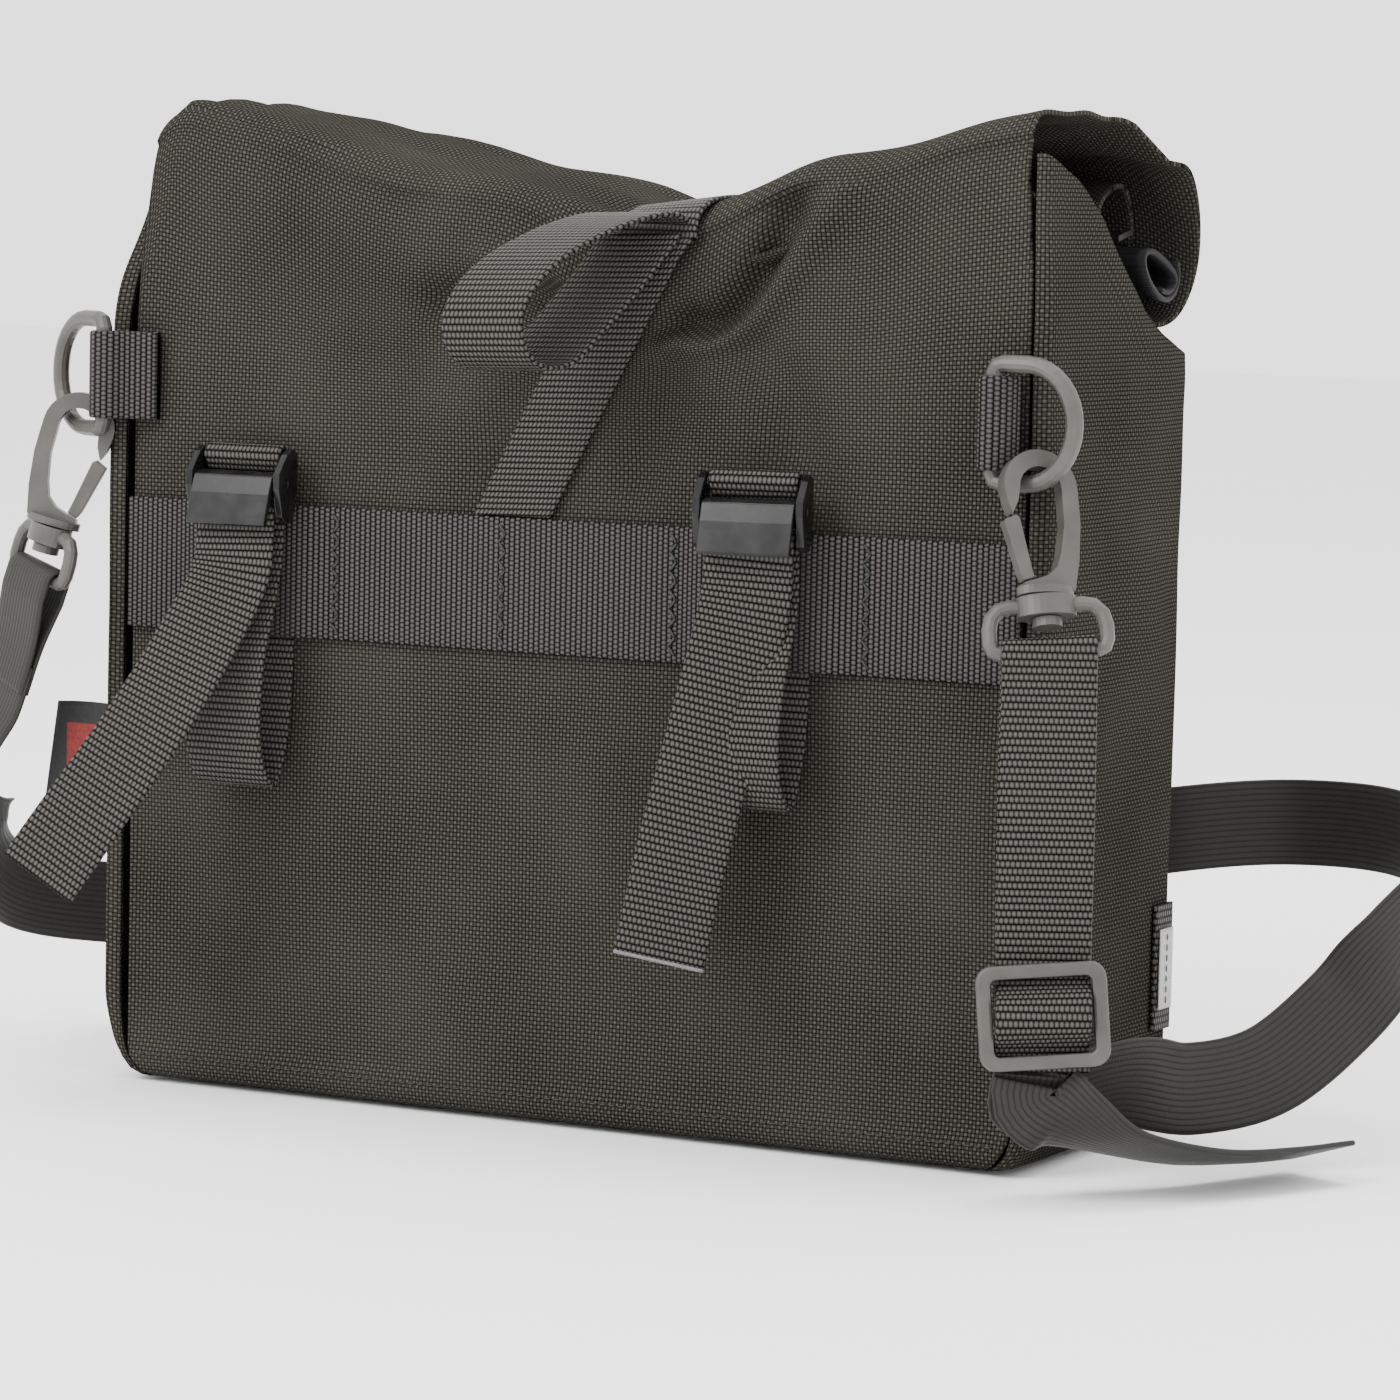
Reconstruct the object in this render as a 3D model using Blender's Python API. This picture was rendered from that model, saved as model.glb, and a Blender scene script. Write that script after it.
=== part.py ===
"""Roll-top pannier bag with cam-buckle mounting straps and a shoulder strap. Metres, +Z up."""
import math

import bmesh
import bpy
from mathutils import Matrix, Vector

MM = 0.001

# Bag body (millimetres; the mounting side faces -Y)
FRONT_Y = -50.0
BACK_Y = 50.0
SEAM_X = 143.5
SIDE_X = 148.0
SHEET = 1.5
BASE_T = 2.0
PANEL_FOOT_Z = 2.3
TOP_Z = 276.0
BACK_TOP_Z = 224.0
DIP = 26.0
DIP_X = 32.0
DIP_FLAT = 15.0
DIP_RAMP = 118.0
GAP = 0.3

# Webbing
WEB = 1.5
STRAP_W = 25.4
BAND_W = 38.1
BAND_FOOT_Z = 134.0
BAND_SLOTS = ((-127.0, -72.0), (38.0, 98.0))
LEFT_BUCKLE_X = -99.0
RIGHT_BUCKLE_X = 68.0
RIGHT_BUCKLE_TURN = 10.0
RIGHT_BUCKLE_OUT = 3.5
REAR_BUCKLE_X = 12.0
REAR_BUCKLE_Z = -22.0

# Roll of the top
LID_AXIS = (0.0, -49.2, 276.5)
ROLL_Y = 32.0
ROLL_Z = 260.0
ROLL_R = 24.0
ROLL_HALF = 141.0

# Snap hook hardware
WIRE_R = 2.4
HOOK_T = 4.4
RIGHT_RING = (137.0, -57.0, 205.0)
LEFT_RING = (-150.0, -56.0, 207.5)
LEFT_RING_TURN = 155.5


def vec(x, y, z):
    return Vector((x, y, z)) * MM


def material(name, color, rough, metal=0.0):
    mat = bpy.data.materials.new(name)
    mat.use_nodes = True
    shader = mat.node_tree.nodes["Principled BSDF"]
    shader.inputs["Base Color"].default_value = (*color, 1.0)
    shader.inputs["Roughness"].default_value = rough
    shader.inputs["Metallic"].default_value = metal
    return mat


def node(name, verts, faces, look, origin=(0.0, 0.0, 0.0), bevel=0.0):
    """Make one closed solid from millimetre points, with its origin on its joint."""
    at = vec(*origin)
    mesh = bpy.data.meshes.new(name)
    mesh.from_pydata([Vector(v) * MM - at for v in verts], [], faces)
    bm = bmesh.new()
    bm.from_mesh(mesh)
    bmesh.ops.recalc_face_normals(bm, faces=bm.faces)
    bm.to_mesh(mesh)
    bm.free()
    obj = bpy.data.objects.new(name, mesh)
    obj.location = at
    bpy.context.collection.objects.link(obj)
    mesh.materials.append(material(name, *look))
    if bevel:
        soft = obj.modifiers.new("edge", "BEVEL")
        soft.width = bevel * MM
        soft.segments = 2
        soft.limit_method = "ANGLE"
        soft.angle_limit = math.radians(40)
    return obj


def combine(obj, other, how):
    """Join or cut two solids and keep the result as the first object."""
    mod = obj.modifiers.new("join", "BOOLEAN")
    mod.operation = how
    mod.solver = "EXACT"
    mod.object = other
    bpy.context.view_layer.update()
    graph = bpy.context.evaluated_depsgraph_get()
    mesh = bpy.data.meshes.new_from_object(obj.evaluated_get(graph))
    obj.modifiers.clear()
    obj.data = mesh
    bpy.data.objects.remove(other, do_unlink=True)
    return obj


def join_all(first, others):
    for other in others:
        combine(first, other, "UNION")
    return first


def soften(obj, width, angle=40):
    mod = obj.modifiers.new("edge", "BEVEL")
    mod.width = width * MM
    mod.segments = 2
    mod.limit_method = "ANGLE"
    mod.angle_limit = math.radians(angle)


def spline(points, per=6):
    """Smooth curve through control points (Catmull-Rom), as a list of vectors."""
    pts = [Vector(p) for p in points]
    pts = [2 * pts[0] - pts[1]] + pts + [2 * pts[-1] - pts[-2]]
    out = []
    for a, b, c, d in zip(pts, pts[1:], pts[2:], pts[3:]):
        for k in range(per):
            t = k / per
            out.append(0.5 * (2 * b + (c - a) * t + (2 * a - 5 * b + 4 * c - d) * t * t
                              + (3 * b - a - 3 * c + d) * t ** 3))
    out.append(pts[-2])
    return out


def arc(cy, cz, r, start, end, steps):
    """Points (y, z) on a circle, angles in degrees from +Y towards +Z."""
    out = []
    for k in range(steps + 1):
        a = math.radians(start + (end - start) * k / steps)
        out.append((cy + r * math.cos(a), cz + r * math.sin(a)))
    return out


def heading(angle):
    return Vector((math.cos(math.radians(angle)), math.sin(math.radians(angle)), 0.0))


def ribbon(name, path, across, width, thick, look, origin=(0.0, 0.0, 0.0)):
    """Flat webbing along a path. `across` is one direction or one for each point."""
    path = [Vector(p) for p in path]
    if not isinstance(across, (list, tuple)):
        across = [across] * len(path)
    verts = []
    for i, p in enumerate(path):
        t = (path[min(i + 1, len(path) - 1)] - path[max(i - 1, 0)]).normalized()
        w = (across[i] - t * across[i].dot(t)).normalized()
        n = t.cross(w)
        for su, sn in ((-1, -1), (1, -1), (1, 1), (-1, 1)):
            verts.append(p + w * (su * width / 2) + n * (sn * thick / 2))
    faces = []
    for i in range(len(path) - 1):
        a = 4 * i
        for k in range(4):
            faces.append((a + k, a + (k + 1) % 4, a + 4 + (k + 1) % 4, a + 4 + k))
    faces.append((3, 2, 1, 0))
    last = 4 * (len(path) - 1)
    faces.append((last, last + 1, last + 2, last + 3))
    return node(name, verts, faces, look, origin)


def tube(name, path, r, look, origin=(0.0, 0.0, 0.0), closed=False, sides=12, up=(0, 0, 1)):
    """Round bar along a path that stays in the plane normal to `up`."""
    path = [Vector(p) for p in path]
    up = Vector(up).normalized()
    count = len(path)
    verts = []
    for i, p in enumerate(path):
        a = path[i - 1] if closed or i else path[0]
        b = path[(i + 1) % count] if closed else path[min(i + 1, count - 1)]
        t = (b - a).normalized()
        side = t.cross(up).normalized()
        for k in range(sides):
            ang = 2 * math.pi * k / sides
            verts.append(p + side * (r * math.cos(ang)) + up * (r * math.sin(ang)))
    faces = []
    for i in range(count if closed else count - 1):
        a = i * sides
        b = (i + 1) % count * sides
        for k in range(sides):
            m = (k + 1) % sides
            faces.append((a + k, a + m, b + m, b + k))
    if not closed:
        faces.append(tuple(range(sides))[::-1])
        faces.append(tuple(range((count - 1) * sides, count * sides)))
    return node(name, verts, faces, look, origin)


def prism(name, outline, frame, depth, look, origin=(0.0, 0.0, 0.0), bevel=0.0):
    """Extrude an outline given in a frame (point, first axis, second axis, depth axis)."""
    at, ex, ey, ez = [Vector(v) for v in frame]
    lo, hi = depth
    verts = [at + ex * a + ey * b + ez * lo for a, b in outline]
    verts += [at + ex * a + ey * b + ez * hi for a, b in outline]
    count = len(outline)
    faces = [tuple(range(count))[::-1], tuple(range(count, 2 * count))]
    faces += [(k, (k + 1) % count, count + (k + 1) % count, count + k) for k in range(count)]
    return node(name, verts, faces, look, origin, bevel)


def disc(name, frame, radii, depth, look, sides=28):
    ru, rv = radii
    rim = [(ru * math.cos(2 * math.pi * k / sides), rv * math.sin(2 * math.pi * k / sides))
           for k in range(sides)]
    return prism(name, rim, frame, depth, look)


def world_frame():
    return ((0, 0, 0), (1, 0, 0), (0, 0, 1), (0, 1, 0))


def top_edge(x):
    """Height of the front panel's top edge: the closed top dips where the strap pulls it."""
    ramp = min(1.0, max(0.0, abs(x - DIP_X) - DIP_FLAT) / DIP_RAMP)
    return -DIP * (1.0 - ramp) * (1.0 - 0.35 * ramp)


def across_bag(half):
    """Stations along X, with one on each side of the flat bottom of the dip."""
    left, right = DIP_X - DIP_FLAT, DIP_X + DIP_FLAT
    xs = [-half + (left + half) * k / 9 for k in range(10)]
    return xs + [right + (half - right) * k / 6 for k in range(7)]


CLOTH = ((0.055, 0.055, 0.048), 0.9)
BAND = ((0.06, 0.055, 0.062), 0.8)
WEBBING = ((0.05, 0.05, 0.05), 0.75)
PLASTIC = ((0.1, 0.095, 0.09), 0.45)
STEEL = ((0.03, 0.03, 0.03), 0.25, 0.6)
PAPER = ((0.75, 0.75, 0.72), 0.6)
BOARD = ((0.12, 0.12, 0.12), 0.6)


def panels():
    xs = across_bag(SEAM_X)
    outline = [(-SEAM_X, PANEL_FOOT_Z), (SEAM_X, PANEL_FOOT_Z)]
    outline += [(x, TOP_Z - 1.5 + top_edge(x)) for x in reversed(xs)]
    prism("front_panel", outline, world_frame(), (FRONT_Y, FRONT_Y + SHEET), CLOTH)
    outline = [(-SEAM_X, PANEL_FOOT_Z), (SEAM_X, PANEL_FOOT_Z)]
    outline += [(x, BACK_TOP_Z - 2.0 + top_edge(x)) for x in reversed(xs)]
    prism("back_panel", outline, world_frame(), (BACK_Y - SHEET, BACK_Y), CLOTH)
    for side, name in ((-1, "left_gusset"), (1, "right_gusset")):
        gusset(name, side)
    rim = rounded(SIDE_X, 50.0, 8.0)
    prism("base_panel", rim, ((0, 0, 0), (1, 0, 0), (0, 1, 0), (0, 0, 1)), (0, BASE_T), CLOTH)
    rim = rounded(138.0, 45.0, 6.0)
    flat = ((0, 0, 0), (1, 0, 0), (0, 1, 0), (0, 0, 1))
    prism("base_board", rim, flat, (BASE_T + GAP, BASE_T + GAP + 2.0), BOARD)


def rounded(hx, hy, r, steps=5):
    out = []
    for cx, cy, start in ((hx - r, hy - r, 0), (r - hx, hy - r, 90),
                          (r - hx, r - hy, 180), (hx - r, r - hy, 270)):
        for k in range(steps + 1):
            a = math.radians(start + 90 * k / steps)
            out.append((cx + r * math.cos(a), cy + r * math.sin(a)))
    return out


def gusset(name, side):
    """Side panel with soft corners reaching both seams and a top edge that falls to the back."""
    inner = SHEET
    r = 4.0
    start = SEAM_X + GAP
    plan = [(start, FRONT_Y + 0.4)]
    plan += [(SIDE_X - r + r * math.sin(a), FRONT_Y + 0.4 + r - r * math.cos(a))
             for a in (0.4, 0.8, 1.2, math.pi / 2)]
    plan += [(SIDE_X, y) for y in (-30, -10, 10, 30)]
    plan += [(x, -y) for x, y in reversed(plan[:5])]
    verts = []
    last = len(plan) - 1
    for i, (x, y) in enumerate(plan):
        ax, ay = plan[max(i - 1, 0)]
        bx, by = plan[min(i + 1, last)]
        t = Vector((bx - ax, by - ay)).normalized()
        n = Vector((-t.y, t.x))
        z = TOP_Z - 3.5 + (BACK_TOP_Z - TOP_Z + 3.0) * (y - FRONT_Y) / (BACK_Y - FRONT_Y)
        for off in (0.0, inner):
            verts.append((side * (x + n.x * off), y + n.y * off, PANEL_FOOT_Z))
            verts.append((side * (x + n.x * off), y + n.y * off, z))
    faces = []
    for i in range(last):
        a, b = 4 * i, 4 * (i + 1)
        faces += [(a, b, b + 1, a + 1), (a + 2, a + 3, b + 3, b + 2)]
        faces += [(a, a + 2, b + 2, b), (a + 1, b + 1, b + 3, a + 3)]
    e = 4 * last
    faces += [(0, 1, 3, 2), (e, e + 2, e + 3, e + 1)]
    node(name, verts, faces, CLOTH)


def profile_sheet(name, profile, half, thick, look):
    """Sheet that follows a (y, z) profile, runs along X and sinks where the top dips."""
    offs = []
    last = len(profile) - 1
    for i in range(last + 1):
        ay, az = profile[max(i - 1, 0)]
        by, bz = profile[min(i + 1, last)]
        t = Vector((by - ay, bz - az)).normalized()
        n = Vector((-t.y, t.x))
        y, z = profile[i]
        offs.append(((y + n.x * thick / 2, z + n.y * thick / 2),
                     (y - n.x * thick / 2, z - n.y * thick / 2)))
    loop = [o[0] for o in offs] + [o[1] for o in reversed(offs)]
    count = len(loop)
    verts = []
    stations = across_bag(half)
    steps = len(stations) - 1
    for x in stations:
        verts += [(x, y, z + top_edge(x)) for y, z in loop]
    faces = []
    for k in range(steps):
        a, b = k * count, (k + 1) * count
        faces += [(a + m, a + (m + 1) % count, b + (m + 1) % count, b + m) for m in range(count)]
    faces += [tuple(range(count))[::-1], tuple(range(steps * count, (steps + 1) * count))]
    node(name, verts, faces, look, LID_AXIS)


def rolled_top():
    """Closed top: two layers run back from the front edge and roll up on the sloping back."""
    sheet = 2.4
    spiral = []
    turns = 1.6
    steps = 30
    for k in range(steps + 1):
        a = math.radians(90 - 360 * turns * k / steps)
        r = ROLL_R - sheet / 2 - 6.2 * turns * k / steps
        spiral.append((ROLL_Y + r * math.cos(a), ROLL_Z + r * math.sin(a)))
    lead = spline([(-48.4, 278.0, 0), (-44.5, 283.2, 0), (-30, 285.4, 0), (0, 285.4, 0),
                   (20, 284.2, 0)], 4)
    profile = [(p.x, p.y) for p in lead] + spiral
    profile_sheet("rolled_top", profile, ROLL_HALF, sheet, CLOTH)
    slope = [(-46.0, 273.6), (-20.0, 261.5), (14.0, 244.0), (38.0, 231.6), (49.5, 225.8)]
    profile_sheet("upper_back_panel", [(y, z - 1.0) for y, z in slope], ROLL_HALF, SHEET, CLOTH)
    core = arc(ROLL_Y, ROLL_Z, 9.2, 60, 330, 10)
    profile_sheet("roll_hem_webbing", core, ROLL_HALF - 2, WEB, WEBBING)
    stiff = [(ROLL_Y - 5.0, ROLL_Z - 1.0), (ROLL_Y + 5.0, ROLL_Z + 1.0)]
    profile_sheet("roll_stiffener", stiff, ROLL_HALF - 6, 1.6, BOARD)


def band():
    """Wide webbing across the mounting side, standing proud where the straps pass behind."""
    flat = FRONT_Y - GAP - WEB / 2
    lift = flat - WEB - 2 * GAP
    path = [(-SEAM_X, flat)]
    for a, b in BAND_SLOTS:
        path += [(a + 1.5, flat), (a + 4.5, flat - 0.5), (a + 9.5, lift + 0.3), (a + 13, lift)]
        path += [(b - 13, lift), (b - 9.5, lift + 0.3), (b - 4.5, flat - 0.5), (b - 1.5, flat)]
    path.append((SEAM_X, flat))
    mid = BAND_FOOT_Z + BAND_W / 2
    ribbon("mount_band", [(x, y, mid) for x, y in path], Vector((0, 0, 1)), BAND_W, WEB, BAND)


class Place:
    """Local axes of a buckle: x across, y depth (front is negative), z up."""

    def __init__(self, x, turn=0.0, flip=False, lift=0.0, out=0.0):
        self.pivot = Vector((x, -57.0, 0.0))
        self.turn = math.radians(turn + (180.0 if flip else 0.0))
        self.shift = Vector((0.0, 114.0 if flip else -out, lift))

    def __call__(self, x, y, z, share=1.0):
        """World point; `share` below 1 eases the turn out again towards the band."""
        local = Vector((x, y + 57.0, z))
        spun = Matrix.Rotation(self.turn * share, 3, "Z") @ local
        return spun + self.pivot + self.shift * share

    def axes(self):
        spin = Matrix.Rotation(self.turn, 3, "Z")
        return [spin @ Vector(a) for a in ((0, 1, 0), (0, 0, 1), (1, 0, 0))]


TOP_BAR = (-57.5, 186.0)
LOW_BAR = (-60.0, 170.0)
PIN = (-61.5, 178.6)
BAR_R = 1.6
WRAP_R = BAR_R + 0.4 + WEB / 2


def cam_buckle(prefix, place):
    ydir, zdir, xdir = place.axes()
    zero = place(0, 0, 0)
    frame = (zero, ydir, zdir, xdir)
    cheek = [(-55.6, 187.6), (-58.0, 188.6), (-61.0, 187.0), (-65.2, 181.6), (-65.4, 177.4)]
    cheek += [(-63.4, 169.2), (-61.6, 167.6), (-58.4, 167.6), (-56.6, 170.4), (-55.4, 180.0)]
    parts = [prism("cheek", cheek, frame, (s - 1.1, s + 1.1), STEEL) for s in (-14.8, 14.8)]
    for y, z in (TOP_BAR, LOW_BAR):
        rod = (place(0, y, z), ydir, zdir, xdir)
        parts.append(disc("rod", rod, (BAR_R, BAR_R), (-14.6, 14.6), STEEL, 16))
    parts[0].name = prefix + "_buckle_frame"
    body = join_all(parts[0], [parts[2], parts[3], parts[1]])
    hub = (place(0, *PIN), ydir, zdir, xdir)
    combine(body, disc("drill", hub, (1.25, 1.25), (-20, 20), STEEL, 16), "DIFFERENCE")
    body.data.materials.clear()
    body.data.materials.append(material(prefix + "_buckle_frame", *STEEL))
    soften(body, 0.35)
    disc(prefix + "_buckle_pin", hub, (1.0, 1.0), (-15.7, 15.7), STEEL, 16)
    py, pz = PIN
    lever = [(-1.6, 2.9), (-3.4, 2.0), (-5.2, -3.0), (-7.6, -11.2), (-7.3, -12.0), (-6.2, -11.9)]
    lever += [(-4.1, -5.2), (-2.7, -3.4), (-1.0, -4.3), (0.2, -4.5), (1.3, -3.9), (2.6, -2.2)]
    lever += [(3.1, 0.0), (2.7, 1.8), (1.5, 2.8), (0.0, 3.2)]
    at = (zero, ydir, zdir, xdir)
    outline = [(py + a, pz + b) for a, b in lever]
    plate = prism(prefix + "_cam_lever", outline, at, (-13.3, 13.3), STEEL)
    combine(plate, disc("drill", hub, (1.25, 1.25), (-20, 20), STEEL, 16), "DIFFERENCE")
    hinge = place(0, *PIN) * MM
    plate.data.transform(Matrix.Translation(-hinge))
    plate.location = hinge
    plate.data.materials.clear()
    plate.data.materials.append(material(prefix + "_cam_lever", *STEEL))
    soften(plate, 0.3)


def anchor_end():
    """Path (y, z) of webbing sewn round the buckle's top bar, from its end to the band."""
    ty, tz = TOP_BAR
    pts = [(-54.6, 177.4), (-56.5, 180.4), (-58.6, 183.2)]
    pts += arc(ty, tz, WRAP_R, 180, 0, 6)
    return pts + [(-53.3, 181.0), (-51.6, 176.4), (FRONT_Y - GAP - WEB / 2, 171.6)]


def low_wrap():
    """Path (y, z) round the buckle's low bar, coming up behind it and down in front."""
    ly, lz = LOW_BAR
    return arc(ly, lz, WRAP_R, 0, 180, 8)


def cam_strap(name, x, place, turn, loop, tail, tail_turn):
    """One strap: buckle bar, down behind the band, out into the rail loop, back up, tail."""
    lie = FRONT_Y - GAP - WEB / 2
    path, across = [], []
    for p in spline([(y, z, 0) for y, z in anchor_end()], 2):
        share = min(1.0, max(0.0, (p.y - 173.0) / 10.0))
        path.append(place(0, p.x, p.y, share))
        across.append(heading(turn * share))
    low = [(lie, 153.0), (lie, 136.0)] + loop
    for p in spline([(y, z, 0) for y, z in low], 4):
        path.append(Vector((x, p.x, p.y)))
        across.append(heading(0.0))
    for y, z in [(-57.25, 165.0)] + low_wrap():
        path.append(place(0, y, z))
        across.append(heading(turn))
    hang = spline([place(0, -62.9, 166.0)] + [Vector(p) for p in tail], 5)
    for i, p in enumerate(hang):
        path.append(p)
        share = min(1.0, i / (len(hang) * 0.45))
        across.append(heading(turn + (tail_turn - turn) * share))
    ribbon(name, path, across, STRAP_W, WEB, WEBBING)


def rail_loop(bottom):
    """Path (y, z) of the loop a rail passes through, below and in front of the band."""
    return [(-51.6, 122.0), (-54.0, bottom + 12), (-59.5, bottom), (-66.0, bottom + 5.5),
            (-68.6, bottom + 17), (-66.8, 128.0), (-62.0, 142.0), (-58.4, 154.0)]


def strap_on_front():
    """Centre strap up the mounting side and the loop of the same webbing sewn at its top."""
    lie = FRONT_Y - GAP - WEB / 2
    foot = Vector((-14.0, lie, 173.2))
    head = Vector((25.0, lie, 247.5))
    lean = (head - foot).normalized()
    side = lean.cross(Vector((0, -1, 0))).normalized()
    reach = STRAP_W / 2 / lean.z
    outline = [(foot.x - reach, foot.z), (foot.x + reach, foot.z)]
    outline += [(head.x + reach, head.z), (head.x - reach, head.z)]
    prism("centre_strap", outline, world_frame(), (lie - WEB / 2, lie + WEB / 2), WEBBING)
    down = -lean
    shape = [(6.0, 1.8), (2.0, 6.0), (4.0, 15.0), (9.0, 26.0), (17.0, 35.0), (28.0, 40.0)]
    shape += [(40.0, 40.0), (47.0, 35.0), (46.0, 28.0), (37.0, 19.0), (26.0, 10.0), (17.0, 3.6)]
    shape += [(12.0, 1.8)]
    path = [head + down * a + Vector((0, -1, 0)) * b for a, b in
            [(p.x, p.y) for p in spline([(*s, 0) for s in shape], 4)]]
    ribbon("front_pull_loop", path, side, STRAP_W, WEB, WEBBING)


def strap_on_back():
    """Closing strap over the roll to the rear buckle, and the sewn strap that tightens it."""
    place = Place(REAR_BUCKLE_X, flip=True, lift=REAR_BUCKLE_Z)
    over = []
    r = ROLL_R + GAP + WEB / 2
    lane = [(-45.5, 286.0), (-40.0, 287.4), (-30.0, 288.2), (0.0, 288.2), (20.0, 287.2)]
    lane += arc(ROLL_Y, ROLL_Z, r + 0.9, 90, 0, 7)
    lane += [(57.6, 244.0), (56.6, 226.0), (54.6, 205.0), (53.2, 185.0)]
    for p in spline([(y, z, 0) for y, z in lane], 3):
        share = min(1.0, max(0.0, (236.0 - p.y) / 60.0)) if p.x > 40.0 else 0.0
        x = DIP_X + (REAR_BUCKLE_X - DIP_X) * share
        drop = top_edge(DIP_X) * min(1.0, max(0.0, (p.y - 180.0) / 60.0))
        over.append(Vector((x, p.x, p.y + drop)))
    ty, tz = TOP_BAR
    wrap = [place(0, y, z) for y, z in arc(ty, tz, WRAP_R, 0, 180, 6)]
    wrap += [place(0, -58.6, 183.2), place(0, -56.5, 180.4)]
    ribbon("closure_strap", over + wrap, Vector((1, 0, 0)), STRAP_W, WEB, WEBBING, LID_AXIS)
    lie = BACK_Y + GAP + WEB / 2
    x = REAR_BUCKLE_X
    rise = spline([(x, lie, 62.0), (x, lie, 96.0), (x, 53.0, 122.0), (x, 56.2, 138.0)], 4)
    wrap = [place(0, y, z) for y, z in [(-57.25, 165.0)] + low_wrap()]
    hang = [place(0, -63.1, 165.0), (x, 65.0, 132.0), (x + 2, 68.0, 105.0), (x + 4, 66.0, 74.0)]
    path = rise + wrap + spline(hang, 4)
    ribbon("rear_cinch_strap", path, Vector((1, 0, 0)), STRAP_W, WEB, WEBBING)
    return place


def d_ring(name, bar, turn):
    """Moulded D-ring: a straight bar inside the tab and a round arch, turned about the bar."""
    at = Vector(bar)
    out = heading(turn)
    pts = [(0, 13.6), (0, 4.0), (0, -4.0), (0, -13.6), (0.9, -15.4), (2.8, -16.0), (5.5, -16.0)]
    pts += [(10.0 + 14.0 * math.sin(a), -16.0 * math.cos(a))
            for a in [math.pi * k / 16 for k in range(17)]]
    pts += [(5.5, 16.0), (2.8, 16.0), (0.9, 15.4)]
    path = [at + out * a + Vector((0, 0, b)) for a, b in pts]
    normal = out.cross(Vector((0, 0, 1)))
    tube(name, path, WIRE_R, PLASTIC, bar, closed=True, up=normal)


def ring_tabs():
    """Webbing tabs folded round the D-ring bars and sewn in the front side seams."""
    lie = FRONT_Y - GAP - WEB / 2
    x, y, z = RIGHT_RING
    r = WIRE_R + 0.35 + WEB / 2
    plan = [(142.4, lie), (139.8, lie - 0.7)]
    plan += [(x + r * math.cos(a), y + r * math.sin(a))
             for a in [math.radians(80 + 220 * k / 9) for k in range(10)]]
    plan += [(141.6, -57.2), (142.8, lie - WEB - 2 * GAP)]
    path = [(a, b, z) for a, b in plan]
    ribbon("right_ring_tab", path, Vector((0, 0, 1)), STRAP_W, WEB, WEBBING)
    x, y, z = LEFT_RING
    plan = [(-134.0, lie), (-142.0, lie), (-146.6, lie - 0.3)]
    plan += [(x + r * math.cos(a), y + r * math.sin(a))
             for a in [math.radians(80 + 190 * k / 9) for k in range(10)]]
    plan += [(-146.0, -58.6), (-142.6, -55.2), (-134.0, lie - WEB - GAP)]
    path = [(a, b, z) for a, b in plan]
    ribbon("left_ring_tab", path, Vector((0, 0, 1)), STRAP_W, WEB, WEBBING)


def hook_frame(wire, flat, down):
    """Axes of a snap hook: origin at the ring wire, u across to the spine, w up."""
    w = -Vector(down).normalized()
    u = Vector(flat)
    u = (u - w * u.dot(w)).normalized()
    return Vector(wire), u, w, u.cross(w)


def snap_hook(prefix, wire, flat, down, eye_turn, drop=0.0):
    """Hook, gate and swivel eye; it swings about a point `drop` below its origin point."""
    at, u, w, t = hook_frame(wire, flat, down)
    body = [(-10.6, -2.4)]
    body += [(10.75 * math.cos(a), -2.4 + 10.75 * math.sin(a))
             for a in [math.pi - math.pi * k / 14 for k in range(1, 14)]]
    body += [(10.75, -2.4), (10.9, -12.0), (9.8, -22.0), (8.0, -30.4), (-6.6, -30.4)]
    body += [(-6.6, -28.6), (-3.2, -27.6), (0.5, -26.4), (3.2, -24.0), (4.6, -20.0)]
    body += [(6.1, -12.0), (6.1, -2.4)]
    body += [(6.1 * math.cos(a), -2.4 + 6.1 * math.sin(a))
             for a in [math.pi * k / 10 for k in range(1, 10)]]
    body += [(-6.1, -2.4), (-6.8, -6.0), (-8.6, -9.6), (-9.8, -7.0)]
    frame = (at, u, w, t)
    hook = prism(prefix + "_snap_hook", body, frame, (-HOOK_T / 2, HOOK_T / 2), PLASTIC)
    down_frame = (at, u, t, -w)
    join_all(hook, [
        disc("flange", down_frame, (8.0, 5.4), (29.6, 31.8), PLASTIC),
        disc("stem", down_frame, (2.8, 2.8), (31.0, 40.0), PLASTIC, 18),
        disc("head", down_frame, (4.0, 4.0), (38.0, 40.4), PLASTIC, 18),
    ])
    finish(hook, prefix + "_snap_hook", Vector(wire) - Vector((0, 0, drop)), 0.6)
    gate = [(-6.4, -28.1), (-3.4, -27.1), (-4.0, -24.4), (-6.5, -10.6), (-7.6, -9.8)]
    gate += [(-8.7, -10.4), (-11.0, -11.4), (-10.4, -14.0), (-7.4, -26.0)]
    foot = at + u * -5.4 + w * -27.0
    leaf = prism(prefix + "_hook_gate", gate, frame, (-1.9, 1.9), PLASTIC)
    finish(leaf, prefix + "_hook_gate", foot, 0.4)
    eu = Matrix.Rotation(math.radians(eye_turn), 3, w) @ u
    et = eu.cross(w)
    eye = disc("collar", (at, eu, et, -w), (8.0, 5.6), (32.1, 37.6), PLASTIC)
    half = [(6.2, -34.6), (9.5, -34.3), (12.6, -34.9), (14.8, -37.2), (15.6, -40.4)]
    half += [(15.6, -44.2), (14.8, -46.3), (13.1, -47.0), (6.0, -47.0)]
    loop = half + [(-a, b) for a, b in reversed(half)]
    arm = tube("bail", [at + eu * a + w * b for a, b in loop], 2.1, PLASTIC, up=et)
    combine(eye, arm, "UNION")
    combine(eye, disc("bore", (at, eu, et, -w), (3.15, 3.15), (30, 39), PLASTIC, 18), "DIFFERENCE")
    finish(eye, prefix + "_swivel_eye", at + w * -40.0, 0.0)
    return at + w * -47.0, eu


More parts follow.
